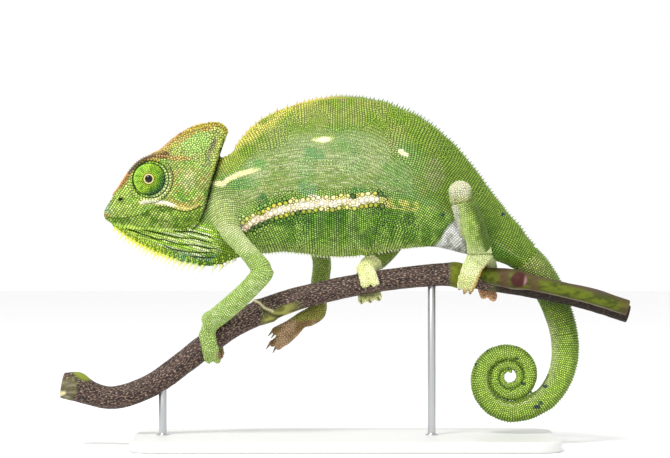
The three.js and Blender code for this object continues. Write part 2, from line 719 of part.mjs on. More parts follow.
addFoot(
  "hindfoot_right",
  gripping({
    wrist: footStart(LEG_RIGHT),
    centre: [10.6, 0, 73.4],
    up: vector(-0.17, 0, 0.98),
    runs: vector(0.98, 0, 0.17),
    round: [5, 5],
    palm: 4.5,
    bundles: [
      { side: LEFT, toes: 2, spread: 4, angles: [14, 92], shifts: [-0.6, 0.6], thick: 2.4, stagger: 0 },
      { side: RIGHT, toes: 3, spread: 3.3, angles: [36, 172], shifts: [0, -0.6], thick: 2.2 },
    ],
  }),
  LEG_RIGHT,
);
addFoot(
  "forefoot_right",
  hangingFoot({
    wrist: [...footStart(ARM_RIGHT), 4.3],
    heel: [
      [-12.8, 8.6, 60, 4.4],
      [-18, 6.6, 57, 4.2],
    ],
    bundles: [
      {
        from: [-19, 5, 58.4],
        tips: [
          [-31.6, 1.6, 51.6],
          [-30.4, 5, 50.8],
        ],
        thick: 2.2,
      },
      {
        from: [-19, 7, 55.4],
        tips: [
          [-33, 5.4, 45.8],
          [-30.4, 8.4, 44.2],
          [-27.4, 11, 46],
        ],
        thick: 1.9,
      },
    ],
  }),
  ARM_RIGHT,
);

export default model;
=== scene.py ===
"""The looks of a life-size female veiled chameleon on a perch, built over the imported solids.

Shapes are worked out in millimetres. X runs from head to tail, -Y is the animal's left side, Z is up.
"""

import math

import bmesh
import bpy
import numpy as np
import openvdb
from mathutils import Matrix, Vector
from mathutils.bvhtree import BVHTree
from mathutils.kdtree import KDTree


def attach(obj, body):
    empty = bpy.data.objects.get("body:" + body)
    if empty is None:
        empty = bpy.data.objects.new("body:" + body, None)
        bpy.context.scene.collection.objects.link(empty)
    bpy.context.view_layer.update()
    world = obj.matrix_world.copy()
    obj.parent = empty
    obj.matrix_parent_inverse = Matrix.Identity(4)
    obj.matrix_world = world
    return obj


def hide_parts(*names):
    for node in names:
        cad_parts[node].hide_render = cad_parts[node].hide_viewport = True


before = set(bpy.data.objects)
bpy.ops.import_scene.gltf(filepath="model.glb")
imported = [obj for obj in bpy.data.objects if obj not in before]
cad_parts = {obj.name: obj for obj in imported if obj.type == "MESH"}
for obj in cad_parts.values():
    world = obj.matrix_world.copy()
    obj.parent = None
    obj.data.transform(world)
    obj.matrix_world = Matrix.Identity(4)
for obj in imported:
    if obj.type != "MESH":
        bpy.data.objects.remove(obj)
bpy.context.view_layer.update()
MM = 0.001
random = np.random.default_rng(7)
FLESH = [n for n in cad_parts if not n.startswith(("stand_", "perch_", "claw_"))]
HEAD = ("head", "casque", "lower_jaw", "eye_turret_left", "eye_turret_right")

# ---------- Skin: its size and make ----------
COAT = 0.25  # how deep the skin lies under the solids' surface
CLOSE = 0.2  # half the width of the seams that close up
FINE_VOXEL = 0.3
SKIN_VOXEL = 0.72

# ---------- The animal's own places and lines ----------
EYE = (-87.6, 120.0)  # the middle of the turret's rings, as [x, z]
INNER_GROOVE, LID_GROOVE, OUTER_GROOVE = 7.2, 8.3, 10.8  # radii of the grooves round the eye
EYEBALL = np.array([-87.4, 11.35, 120])  # on the right; the left one is its mirror image
SHOULDER = (-51, 93)  # the middle of the skin's rings over the shoulder, as [x, z]
KNEE = np.array([50.9, -21.3, 113.9])  # the middle of the left knee's ball
ANKLE_CREASE = 86.5  # its height
SPINE_LINE = [
    (-80, 0, 118), (-66, 0, 108), (-56, 0, 108.4), (-45, 0, 112.6), (-27, 0, 119.7), (-13, 0, 120.8),
    (13, 0, 121), (26, 0, 118.8), (38.4, 0, 113.9), (51, 0, 105.6), (62, 0.2, 97), (72.6, 1, 91),
    (81.4, 3.4, 84.8),
]
TAIL_LINE = [
    (81.4, 3.4, 84.8), (89.4, 7, 75), (95.2, 9.6, 63.6), (98.6, 9.6, 53.4), (99.8, 8.6, 44), (98.8, 7.6, 35),
    (95.2, 6.8, 26.6), (89.4, 6.2, 20), (82.2, 6, 16.2),
]
COIL = {"x": 74.2, "y": 6, "z": 30.9, "radius": 16, "shrink": 0.505, "turns": 2.6}


def tail_line():
    turns = np.arange(round(COIL["turns"] * 12) + 1) / 12
    angle = -math.pi / 2 - turns * 2 * math.pi
    radius = COIL["radius"] * COIL["shrink"] ** turns
    coil = np.stack(
        [COIL["x"] + radius * np.cos(angle), 0 * turns + COIL["y"], COIL["z"] + radius * np.sin(angle)], 1
    )
    return smooth_line([*TAIL_LINE, *map(tuple, coil)])


def from_coil_middle(p):
    return np.hypot(p[:, 0] - COIL["x"], p[:, 2] - COIL["z"])


def drawn_out(p, sense, line):
    """Draws the coil out sideways like a spring, or back, so that its turns don't touch meanwhile."""
    reach = reach_along(line)
    middle = from_coil_middle(line)
    thick = np.interp(reach, [0, 30, 75], [7, 6, 4.8])
    inside = reach > 80
    thick[inside] = np.maximum(middle[inside] * 0.282, 0.9)
    shift = np.interp(reach, [80, reach[-1]], [0, 13])
    seen = line + [0, 1, 0] * (shift[:, None] if sense < 0 else 0 * shift[:, None])
    out = p.copy()
    for start in range(0, len(p), 20000):
        some = p[start : start + 20000]
        gap = np.linalg.norm(some[:, None] - seen[None, ::2], axis=2) / thick[::2]
        out[start : start + 20000, 1] += sense * shift[::2][gap.argmin(1)]
    return out


def smooth_line(rows, step=0.5):
    """A Catmull-Rom curve through the rows, sampled about every step."""
    p = np.array(rows, float)
    p = np.concatenate([2 * p[:1] - p[1:2], p, 2 * p[-1:] - p[-2:-1]])
    out = []
    for a, b, c, d in zip(p, p[1:], p[2:], p[3:]):
        t = np.linspace(0, 1, max(2, round(np.linalg.norm(c - b) / step)), endpoint=False)[:, None]
        square, cube = 2 * a - 5 * b + 4 * c - d, 3 * b - a - 3 * c + d
        out.append(0.5 * (2 * b + (c - a) * t + square * t**2 + cube * t**3))
    return np.concatenate([*out, p[-2:-1]])


def reach_along(line):
    """How far along a line each of its points lies."""
    return np.concatenate([[0], np.cumsum(np.linalg.norm(np.diff(line, axis=0), axis=1))])


def unit(v):
    """The same direction, or the same row of directions, with a length of 1."""
    return v / (np.linalg.norm(v) if v.ndim == 1 else np.linalg.norm(v, axis=1)[:, None])


# ---------- Mesh tools ----------
def triangles_of(names):
    """The solids' triangles together, in millimetres, with the number of the node that each belongs to."""
    points, faces, labels, start = [], [], [], 0
    for number, name in enumerate(names):
        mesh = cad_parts[name].data
        mesh.calc_loop_triangles()
        place = np.empty(len(mesh.vertices) * 3, np.float32)
        mesh.vertices.foreach_get("co", place)
        corner = np.empty(len(mesh.loop_triangles) * 3, np.int32)
        mesh.loop_triangles.foreach_get("vertices", corner)
        points.append(place.reshape(-1, 3) / MM)
        faces.append(corner.reshape(-1, 3) + start)
        labels.append(np.full(len(faces[-1]), number))
        start += len(mesh.vertices)
    return np.concatenate(points), np.concatenate(faces), np.concatenate(labels)


def rounded(points, faces, parts=4, crease=50):
    """The same faces, divided and bowed between their corners' normals. Creases stay."""
    keys, corner = np.unique(points.round(4), axis=0, return_inverse=True)
    faces = corner.ravel()[faces]
    faces = faces[(faces != np.roll(faces, 1, 1)).all(1)]
    a, b, c = keys[faces].transpose(1, 0, 2)
    facing = np.cross(b - a, c - a)
    area = np.linalg.norm(facing, axis=1)
    flat_normal = facing / np.maximum(area, 1e-9)[:, None]
    order = np.argsort(faces.ravel(), kind="stable")
    start = np.searchsorted(faces.ravel()[order], np.arange(len(keys) + 1))
    count = np.diff(start)
    column = np.arange(count.max())
    around = np.where(
        column < count[:, None], order[np.minimum(start[:-1, None] + column, len(order) - 1)] // 3, -1
    )
    ends = np.sort(np.concatenate([faces[:, [0, 1]], faces[:, [1, 2]], faces[:, [2, 0]]]), axis=1)
    edge, which = np.unique(ends, axis=0, return_inverse=True)
    which = which.ravel()
    owner = np.tile(np.arange(len(faces)), 3)
    mean = np.zeros((len(edge), 3))
    np.add.at(mean, which, flat_normal[owner])
    length = np.linalg.norm(mean, axis=1)
    soft = length > 2 * math.cos(math.radians(crease / 2))
    mean /= np.maximum(length, 1e-9)[:, None]
    middle = keys[edge].mean(1)
    bow = np.zeros((len(edge), 3))
    for end in (0, 1):
        near = around[edge[:, end]]
        alike = (
            (near >= 0)
            & (np.einsum("ijk,ik->ij", flat_normal[near], mean) > math.cos(math.radians(crease * 0.8)))
        )
        normal = np.einsum("ijk,ij->ik", flat_normal[near], alike * area[near])
        normal /= np.maximum(np.linalg.norm(normal, axis=1), 1e-9)[:, None]
        bow -= 0.25 * np.einsum("ik,ik->i", middle - keys[edge[:, end]], normal)[:, None] * normal
    bow[~soft] = 0
    bow_ab, bow_bc, bow_ca = bow[which].reshape(3, -1, 3)
    grid = [(i, j) for i in range(parts + 1) for j in range(parts + 1 - i)]
    place = {cell: n for n, cell in enumerate(grid)}
    u, v = np.array(grid).T[:, :, None, None] / parts
    w = 1 - u - v
    out = w * a + u * b + v * c + 4 * (w * u * bow_ab + u * v * bow_bc + v * w * bow_ca)
    small = [(place[i, j], place[i + 1, j], place[i, j + 1]) for i, j in grid if i + j < parts]
    small += [(place[i + 1, j], place[i + 1, j + 1], place[i, j + 1]) for i, j in grid if i + j < parts - 1]
    number = np.arange(len(grid) * len(a)).reshape(len(grid), -1)
    return out.reshape(-1, 3), number[np.array(small)].transpose(0, 2, 1).reshape(-1, 3)


def remeshed(points, voxel, offset, triangles=None, quads=None):
    """The surface that lies offset outside the given one, as even quads."""
    faces = {"triangles": triangles} if quads is None else {"quads": quads}
    faces = {key: value.astype(np.uint32) for key, value in faces.items()}
    grid = openvdb.FloatGrid.createLevelSetFromPolygons(
        points.astype(np.float32), transform=openvdb.createLinearTransform(voxelSize=voxel), halfWidth=3.0,
        **faces,
    )
    return grid.convertToQuads(offset)


def largest_part(points, faces):
    part = np.arange(len(points))
    while True:
        lower = part.copy()
        np.minimum.at(lower, faces.ravel(), np.repeat(part[faces].min(1), faces.shape[1]))
        lower = lower[lower]
        if (lower == part).all():
            break
        part = lower
    keep = part == np.bincount(part).argmax()
    renumber = np.cumsum(keep) - 1
    return points[keep], renumber[faces[keep[faces[:, 0]]]]


def make_mesh(name, points, faces):
    mesh = bpy.data.meshes.new(name)
    mesh.from_pydata(
        (np.asarray(points) * MM).tolist(), [], faces if isinstance(faces, list) else faces.tolist()
    )
    mesh.polygons.foreach_set("use_smooth", [True] * len(mesh.polygons))
    mesh.update()
    thing = bpy.data.objects.new(name, mesh)
    bpy.context.scene.collection.objects.link(thing)
    return thing


def turn_outward(thing):
    """Makes every face of a closed mesh look out."""
    bm = bmesh.new()
    bm.from_mesh(thing.data)
    bmesh.ops.recalc_face_normals(bm, faces=bm.faces)
    bm.to_mesh(thing.data)
    bm.free()


def ring_faces(sides, low, high):
    """Quads between two rings of points, which start at the numbers low and high."""
    return [(low + i, low + (i + 1) % sides, high + (i + 1) % sides, high + i) for i in range(sides)]


def places(mesh):
    out = np.empty(len(mesh.vertices) * 3, np.float32)
    mesh.vertices.foreach_get("co", out)
    return out.reshape(-1, 3).astype(float) / MM


def set_places(mesh, points):
    mesh.vertices.foreach_set("co", (points * MM).astype(np.float32).ravel())
    mesh.update()


def normals(mesh):
    out = np.empty(len(mesh.vertices) * 3, np.float32)
    mesh.vertex_normals.foreach_get("vector", out)
    return out.reshape(-1, 3).astype(float)


def edges_of(mesh):
    out = np.empty(len(mesh.edges) * 2, np.int32)
    mesh.edges.foreach_get("vertices", out)
    return out.reshape(-1, 2)


def spread(values, edges, count, rounds, amount):
    """Smooths values over the mesh. amount is a share for each round, or a pair that keeps the volume."""
    values = values.copy()
    degree = np.maximum(np.bincount(edges.ravel(), minlength=count), 1)
    pair = amount if isinstance(amount, tuple) else (amount,)
    columns = values.reshape(count, -1)
    for number in range(rounds * len(pair)):
        share = pair[number % len(pair)]
        for column in range(columns.shape[1]):
            here = columns[:, column]
            total = (
                np.bincount(edges[:, 0], here[edges[:, 1]], count)
                + np.bincount(edges[:, 1], here[edges[:, 0]], count)
            )
            columns[:, column] = here + share * (total / degree - here)
    return columns.reshape(values.shape)


def ramp(value, low, high):
    """0 below low, 1 above high, smooth between."""
    t = np.clip((value - low) / (high - low), 0, 1)
    return t * t * (3 - 2 * t)


def fade(value, low, high):
    """1 below low, 0 above high, smooth between."""
    return 1 - ramp(value, low, high)


def bell(distance, width):
    """1 at no distance, falling to 0 on both sides over about twice the width."""
    return np.exp(-((distance / width) ** 2))


def belongs(labels, *starts):
    """Whether each label, a number in FLESH, is that of a node whose name starts with one of the words."""
    return np.isin(labels, [number for number, name in enumerate(FLESH) if name.startswith(starts)])


# ---------- Skin ----------
solid_points, solid_faces, solid_labels = triangles_of(FLESH)
TAIL = tail_line()
coiled = np.zeros(len(solid_points), bool)
coiled[solid_faces[belongs(solid_labels, "tail_")].ravel()] = True
solid_points[coiled] = drawn_out(solid_points[coiled], 1, TAIL)
bowed_points, bowed_faces = rounded(solid_points, solid_faces)
fine_points, fine_quads = remeshed(bowed_points, FINE_VOXEL, CLOSE, triangles=bowed_faces)
skin_points, skin_quads = remeshed(fine_points, SKIN_VOXEL, -CLOSE - COAT, quads=fine_quads)
skin_points, skin_quads = largest_part(skin_points, skin_quads[:, ::-1])
skin = make_mesh("skin", skin_points, skin_quads)


def finer(thing, where):
    """Divides the faces that lie wholly where the test says."""
    bm = bmesh.new()
    bm.from_mesh(thing.data)
    inside = where(np.array([v.co for v in bm.verts]) / MM)
    chosen = {e for f in bm.faces if all(inside[v.index] for v in f.verts) for e in f.edges}
    bmesh.ops.subdivide_edges(bm, edges=list(chosen), cuts=1, use_grid_fill=True)
    bmesh.ops.triangulate(bm, faces=[f for f in bm.faces if len(f.verts) > 4])
    bm.to_mesh(thing.data)
    bm.free()


finer(skin, lambda p: (p[:, 0] < -50) & (p[:, 2] > 92) & (np.abs(p[:, 0] + 78) < 28))
skin.data.polygons.foreach_set("use_smooth", [True] * len(skin.data.polygons))
points = places(skin.data)
edges = edges_of(skin.data)
solid_tree = BVHTree.FromPolygons(solid_points.tolist(), solid_faces.tolist())
nearest = [solid_tree.find_nearest(p)[2] for p in points.tolist()]
label = solid_labels[nearest]


def is_part(*starts):
    return belongs(label, *starts)


EVENED = {
    1.0: ("trunk", "neck", "tail_1", "tail_2"),
    0.6: ("throat", "thigh", "shin", "upper_arm", "forearm", "tail"),
    0.45: ("head", "casque", "lower_jaw"),
    0.3: ("forefoot", "hindfoot"),
}
even = np.max([np.where(is_part(*starts), share, 0.25) for share, starts in EVENED.items()], axis=0)
even = spread(even, edges, len(points), 20, 0.5)
stage_1 = spread(points, edges, len(points), 10, (0.5, -0.52))
stage_2 = spread(stage_1, edges, len(points), 50, (0.5, -0.52))
blend = np.clip(even * 1.6 - 0.5, 0, 1)[:, None]
points = stage_1 * (1 - blend) + stage_2 * blend
points[is_part("tail")] = drawn_out(points[is_part("tail")], -1, TAIL)


def softened(points, middle, reach, rounds):
    """Evens out the skin round a joint."""
    away = np.linalg.norm(points - middle, axis=1) / reach
    chosen = np.flatnonzero(away < 1.3)
    inner = np.isin(edges, chosen).all(1)
    number = np.zeros(len(points), int)
    number[chosen] = np.arange(len(chosen))
    evened = spread(points[chosen], number[edges[inner]], len(chosen), rounds, 0.5)
    points = points.copy()
    points[chosen] += (evened - points[chosen]) * fade(away[chosen], 0.5, 1.0)[:, None]
    return points


# the shoulders, the tail's root and the left groin: the middle, how far the softening reaches, and its rounds
SOFT_JOINTS = [
    ((-54, -9, 105), 11, 60), ((-50, 9, 105), 11, 40), ((81, 3, 88), 12, 80), ((58, -12, 96), 8, 20)
]
for middle, reach, rounds in SOFT_JOINTS:
    points = softened(points, np.array(middle), reach, rounds)


# the left hind leg and its foot: height, then where the two edges lie now and where they go
LEG_EDGES = [
    (69, 50, 62.3, 50.6, 57.4), (73, 50.5, 62.9, 50, 59.2), (76, 51, 63.4, 50, 60.5),
    (79.6, 52, 64.2, 50.8, 62.4), (82, 53, 64.6, 51.9, 64.6), (85, 53.8, 64.8, 53.2, 66),
    (88, 54.2, 64.9, 53.6, 65.2), (91, 53.6, 64, 53.3, 64), (120, 46.3, 55.4, 46.3, 55.4),
]


def over_knee_crease(p):
    return p[:, 2] - 109.2 - 0.2 * (p[:, 0] - 50.6)


def leg_shape(p, share):
    """The left hind leg moved between its new edges, with the knee drawn towards a ball."""
    height, *columns = np.array(LEG_EDGES).T
    old_front, old_rear, front, rear = [np.interp(p[:, 2], height, column) for column in columns]
    goal = front + (p[:, 0] - old_front) / (old_rear - old_front) * (rear - front)
    out = p.copy()
    out[:, 0] += share * (goal - p[:, 0])
    away = out - KNEE
    far = np.linalg.norm(away, axis=1)
    round_off = share * ramp(out[:, 2], 111, 114) * (far < 8)
    out += (round_off * (5.05 / np.maximum(far, 1) - 1))[:, None] * away
    return out


leg = (
    (is_part("thigh_left", "shin_left") & (points[:, 1] < -9))
    | (is_part("hindfoot_left") & (points[:, 1] < -2))
)
points = leg_shape(points, spread(leg.astype(float), edges, len(points), 5, 0.5))
inner_foot = is_part("hindfoot_left") * ramp(points[:, 1], -3, 0) * ramp(points[:, 2], 77, 80)
points[:, 0] += inner_foot * 3.0 * ramp(points[:, 0], 55, 66)
inner_toes = is_part("hindfoot_left") & (points[:, 1] > -1) & (points[:, 2] < 73)
points[inner_toes, 2] = 73 - (73 - points[inner_toes, 2]) * 1.2
set_places(skin.data, points)
grown = np.where(
    is_part("tail") & (points[:, 2] < 50), 0.16 + 0.5 * fade(from_coil_middle(points), 12.5, 15), 0
)
grown *= fade(points[:, 2], 44, 50)
grown -= (
    0.5 * (bell(over_knee_crease(points), 0.6) + bell(points[:, 2] - ANKLE_CREASE, 0.6))
    * (leg & (points[:, 2] > 84))
)
points += normals(skin.data) * grown[:, None]
set_places(skin.data, points)

# ---------- Folds and lids ----------
FOLDS = [
    [(-76.5, 96.9), (-72.9, 96.6), (-68.2, 96.3), (-64.9, 95.5), (-62, 94.7), (-59, 93.4)],
    [
        (-90.7, 97.3), (-87.4, 96.7), (-84.4, 96), (-80.8, 95.4), (-77.5, 94.5), (-73.8, 93.7), (-68.2, 93.5),
        (-63.3, 92.4), (-59.7, 91.6),
    ],
    [
        (-97.9, 97.8), (-94.6, 96.7), (-91, 95.5), (-87.4, 94.4), (-84.1, 93), (-80.8, 92.9), (-78.1, 91.9),
        (-75.2, 91.1), (-72.4, 90.5),
    ],
    [(-72.4, 90.7), (-68.2, 90.6), (-64.3, 89.9), (-61.6, 89.2), (-57.7, 88.9)],
    [(-81.4, 90.6), (-78.1, 88.9), (-75.5, 88.4), (-71.5, 87.6), (-64.9, 87.2), (-59, 87.2)],
    [(-69.4, 85.7), (-66.3, 85.3), (-62.6, 84.8), (-59, 85)],
]
HEAD_EDGE = [
    (-54.4, 138), (-56.2, 131), (-57, 127.6), (-58.7, 122), (-60.3, 116.1), (-62.3, 107.6), (-65.3, 100.8),
    (-68.2, 97.6),
]
MOUTH = [
    (-110, 103.2), (-104, 102.6), (-97.5, 102.9), (-90.5, 104.2), (-86.5, 106.4), (-80, 107.6), (-74.5, 106),
    (-69.5, 105.6), (-65, 107.6),
]
PIT = [(-58.5, 137.5), (-60.6, 133), (-61.6, 126.5)]


def from_line(p, line):
    """Distance in side view from each point to a line of [x, z]."""
    out = np.full(len(p), 1e9)
    flat = p[:, [0, 2]]
    line = smooth_line(line, 2)
    for a, b in zip(line, line[1:]):
        way = b - a
        t = np.clip(((flat - a) @ way) / (way @ way), 0, 1)
        out = np.minimum(out, np.linalg.norm(flat - a - t[:, None] * way, axis=1))
    return out


def from_eye(p):
    """Distance in side view from the eye's middle, and the direction: 0 to the rear, a quarter turn up."""
    x, z = p[:, 0] - EYE[0], p[:, 2] - EYE[1]
    return np.hypot(x, z), np.arctan2(z, x)


def behind(p, line):
    """How far each point lies behind, that is to the +X side of, a line of [x, z] that runs up or down."""
    x, z = np.array(sorted(line, key=lambda row: row[1])).T
    return p[:, 0] - np.interp(p[:, 2], z, x)


def from_lid_ring(p):
    """Distance in side view from the middle of the outer ring round the eye."""
    return np.hypot(p[:, 0] - EYE[0] - 0.75, p[:, 2] - EYE[1] + 0.2)


def from_shoulder(p):
    return np.hypot(p[:, 0] - SHOULDER[0], p[:, 2] - SHOULDER[1])


def from_nostril(p):
    return np.hypot((p[:, 0] + 100.5) * 0.75 - 0.35 * (p[:, 2] - 111), (p[:, 2] - 111) * 1.15)


def head_relief(p):
    """How far the skin of head and throat stands out from the plain form."""
    out = np.zeros(len(p))
    aside = ramp(np.abs(p[:, 1]), 0.4, 1.5)
    for line in FOLDS:
        fold = from_line(p, line)
        out += (0.25 * bell(fold - 1.1, 0.6) - 0.75 * bell(fold, 0.42)) * aside
    mouth = from_line(p, MOUTH)
    out += aside * (0.25 * bell(mouth, 1.5) - 0.7 * bell(mouth, 0.45))
    edge = from_line(p, HEAD_EDGE)
    out += aside * (0.5 * bell(edge - 1.6, 0.9) * (behind(p, HEAD_EDGE) < 0) - 1.3 * bell(edge, 0.75))
    radius, turn = from_eye(p)
    outer = ramp(np.abs(p[:, 1]), 4, 6)
    rear = ramp(np.cos(turn + 0.5), 0.1, 0.7)
    second = from_lid_ring(p)
    out += outer * (0.3 * bell(radius - 6.2, 0.7) - 0.75 * bell(radius - INNER_GROOVE, 0.38))
    out += outer * (0.3 * bell(second - 7.75, 0.35) * rear - 0.8 * bell(second - LID_GROOVE, 0.42))
    out += outer * (0.5 * bell(radius - 9.5, 0.8) - 0.6 * bell(radius - OUTER_GROOVE, 0.45)) * rear
    out -= outer * 0.12 * bell(radius - 3.4, 0.4)
    nostril = from_nostril(p)
    out += aside * (0.35 * bell(nostril - 1.3, 0.6) - 1.1 * bell(nostril, 0.7))
    out -= aside * 0.7 * bell(from_line(p, PIT), 1.6)
    out += aside * 0.5 * bell(from_line(p, [(-80, 131.4), (-74, 130.2), (-66, 129.4)]), 1.0)
    out += aside * 0.35 * bell(from_line(p, [(-80, 134), (-73, 140.6), (-66, 143.6), (-58, 143.2)]), 0.9)
    return out


face = is_part("head", "casque", "lower_jaw", "eye", "throat", "neck")
step = np.where(face, head_relief(points), 0)
points += normals(skin.data) * step[:, None]
for side in (-1, 1):
    ball = EYEBALL * [1, side, 1]
    away = points - ball
    distance = np.linalg.norm(away, axis=1)
    aside = np.hypot(away[:, 0], away[:, 2])
    near = (aside < 3.4) & (away[:, 1] * side > 0)
    lid = np.where(aside < 1.75, 2.15, 2.72)
    goal = ball + away * (lid / distance)[:, None]
    share = np.where(aside < 2.3, 1, fade(aside, 2.3, 3.4))
    share = np.where((distance > lid) & (aside > 1.75), 0, share)[:, None]
    points = np.where(near[:, None], points + (goal - points) * share, points)
set_places(skin.data, points)

skin_nodes = [n for n in FLESH if not n.startswith("eyeball_")]
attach(skin, "root")
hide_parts(*skin_nodes)

# ---------- Unwrap of the skin ----------
bpy.context.view_layer.objects.active = skin
skin.select_set(True)
skin.data.uv_layers.new(name="OFBake")
bpy.ops.object.mode_set(mode="EDIT")
bpy.ops.mesh.select_all(action="SELECT")
bpy.ops.uv.smart_project(angle_limit=math.radians(66), island_margin=0.002)
bpy.ops.object.mode_set(mode="OBJECT")
corner_uv = np.empty(len(skin.data.loops) * 2, np.float32)
skin.data.uv_layers["OFBake"].data.foreach_get("uv", corner_uv)
corner_vertex = np.empty(len(skin.data.loops), np.int32)
skin.data.loops.foreach_get("vertex_index", corner_vertex)
vertex_uv = np.zeros((len(points), 2))
vertex_uv[corner_vertex] = corner_uv.reshape(-1, 2)

# ---------- Markings, with painted light and shade ---
def ink(code):
    """A colour as it looks, in the renderer's own numbers."""
    value = np.array([int(code[i : i + 2], 16) for i in (0, 2, 4)]) / 255
    return np.where(value <= 0.04045, value / 12.92, ((value + 0.055) / 1.055) ** 2.4)


def noise(p, size, seed=0):
    """Smooth values from 0 to 1 that change over about size. size may differ along X, Y and Z."""
    q = np.asarray(p, float) / size + 31.7 * seed + 500
    cell = np.floor(q).astype(np.int64)
    f = q - cell
    f = f * f * (3 - 2 * f)
    out = np.zeros(len(q))
    for corner in np.ndindex(2, 2, 2):
        c = cell + corner
        mess = (c[:, 0] * 73856093) ^ (c[:, 1] * 19349663) ^ (c[:, 2] * 83492791)
        mess = ((mess ^ (mess >> 13)) * 1274126177) & 0x7FFFFFFF
        out += np.prod(np.where(corner, f, 1 - f), axis=1) * ((mess ^ (mess >> 16)) & 0xFFFF) / 65535
    return out


def mix(a, b, share):
    """Colour a with a share of colour b over it at each point. A colour is a code or a row for each point."""
    a, b = (ink(colour) if isinstance(colour, str) else colour for colour in (a, b))
    return a + (b - a) * np.clip(share, 0, 1)[:, None]


def painted(ground, *layers):
    """The ground colour under layers, each a colour and the share of it that shows at each point."""
    for colour, share in layers:
        ground = mix(ground, colour, share)
    return ground


def blob(p, x, z, wide, high, turn=0):
    """1 in the middle of an oval in side view, 0 outside it, with an uneven edge."""
    a, c, s = np.stack([p[:, 0] - x, p[:, 2] - z]), math.cos(math.radians(turn)), math.sin(math.radians(turn))
    away = np.hypot((a[0] * c + a[1] * s) / wide, (a[1] * c - a[0] * s) / high)
    return fade(away + 0.5 * (noise(p, 1.6, 3) - 0.5), 0.7, 1.15)


STRIPE = [
    (-44.5, 98.2), (-40.4, 101.4), (-35.8, 103.1), (-31.2, 105.3), (-26.6, 106.6), (-19.7, 107.9),
    (-14.2, 108.5), (-9.1, 109.4), (-5.9, 108.7), (-1.8, 110.2), (0.9, 109.9), (4.6, 109.4), (7.8, 110.4),
    (12, 111), (17.1, 110.4),
]
STRIPE_END = [(17, 110.2), (24, 108.5), (31, 107.9)]
DASH = [(-59.4, 118.4), (-54.9, 117.9), (-50.6, 120.9), (-42.8, 123.3), (-38.4, 124.6)]
TRUNK_LEVELS = [
    (-66, 108, 15), (-56, 108.4, 20.4), (-45.4, 112.6, 26.4), (-27, 119.7, 32.4), (-13.5, 120.8, 35.2),
    (0, 121, 36), (13.5, 121, 34.8), (26, 118.8, 31.4), (38.4, 113.9, 27), (51, 105.6, 22), (62, 97, 18.5),
    (72.6, 91, 14), (84, 83, 11),
]
LIP = [
    (-93, 108.6), (-90.5, 109.7), (-86, 110), (-79.2, 109.1), (-75.6, 107.9), (-72, 106.8), (-68.9, 106.9),
    (-66, 108.4),
]
CROWN = [
    (-86, 131.6), (-83, 133.4), (-77, 139.2), (-71, 143.1), (-66, 145.4), (-60, 146.3), (-55, 145.4),
    (-52.6, 142),
]
BROW = [(-100.5, 118.6), (-97.5, 123.2), (-93, 128.1), (-88, 130.8), (-84.5, 131.6), (-80.5, 131)]


def along_line(p, line):
    """How far along the line each point is, and its turn round it: 0 on the back, a quarter turn at +Y."""
    reach = reach_along(line)
    way = unit(np.gradient(line, axis=0))
    back = np.cross(way, [0, 1, 0])
    nearest = np.concatenate(
        [np.linalg.norm(p[i : i + 8000, None] - line[None], axis=2).argmin(1) for i in range(0, len(p), 8000)]
    )
    away = p - line[nearest]
    side = np.cross(back[nearest], way[nearest])
    distance = reach[nearest] + np.einsum("ij,ij->i", away, way[nearest])
    turn = np.arctan2(np.einsum("ij,ij->i", away, side), np.einsum("ij,ij->i", away, back[nearest]))
    return distance, turn


def height_share(p):
    """How far up the trunk a point lies: 0 on the belly, 1 on the back."""
    x, middle, half = np.array(TRUNK_LEVELS).T
    return (p[:, 2] - np.interp(p[:, 0], x, middle - half)) / (2 * np.interp(p[:, 0], x, half))


def flank_level(p):
    """Height over the flank's level lines, which arch a little. Pale lines run LINE_GAP apart."""
    x = p[:, 0] + 8
    return (
        p[:, 2] + np.where(x < 0, 0.0035, 0.009) * x**2 + 1.7 * (noise(p, 8, 21) - 0.5)
        + 0.6 * (noise(p, 2.6, 22) - 0.5)
    )


LINE_GAP = 1.7
LINE_HALF = 0.28  # half the width of a pale line


def from_flank_line(p):
    level = flank_level(p)
    return level - LINE_GAP * np.round(level / LINE_GAP)


def bare(p, owner):
    """Distance in side view from each point to the nearest groove, where no scales stand."""
    here, out = label[owner], np.full(len(p), 9.0)
    radius, turn = from_eye(p)
    near = belongs(here, "throat", "neck", "lower_jaw")
    out[near] = np.min([from_line(p[near], line) - 0.2 for line in FOLDS], axis=0)
    near = belongs(here, *HEAD, "neck", "throat")
    second = from_lid_ring(p)
    grooves = [
        from_line(p[near], HEAD_EDGE) - 0.28, from_line(p[near], MOUTH) + 0.1, from_nostril(p[near]) - 0.7
    ]
    side = np.where(np.abs(p[near, 1]) > 4, 0, 9)
    grooves += [
        np.abs(radius[near] - INNER_GROOVE) - 0.12 + side, np.abs(second[near] - LID_GROOVE) - 0.14 + side
    ]
    rear_only = 9 * (np.cos(turn[near] + 0.5) < 0.3)
    grooves += [
        np.abs(radius[near] - OUTER_GROOVE) - 0.1 + side + rear_only,
        np.where(side > 0, 9, radius[near] - 2.6),
    ]
    out[near] = np.minimum(out[near], np.min(grooves, axis=0))
    return out


def flank(p, owner):
    """1 on the pale upper flank, where the scales stand in level rows."""
    share = height_share(p)
    uneven = noise(p, 9, 52) - 0.5
    out = (
        ramp(share, 0.40, 0.46) * fade(share + 0.3 * uneven, 0.70, 0.86) * ramp(p[:, 0], -52, -40)
        * fade(p[:, 0] + 24 * uneven, 16, 36)
    )
    return out * belongs(label[owner], "trunk", "neck") * (from_line(p, STRIPE) > 1.5)


def grain_of(p):
    """Noise of three sizes, and an uneven offset for the edges of markings."""
    edge = 0.55 * (noise(p, 2.1, 8) - 0.5) + 0.5 * (noise(p, 0.9, 9) - 0.5)
    return noise(p, 11, 1), noise(p, 4.5, 2), noise(p, 1.6, 4), edge


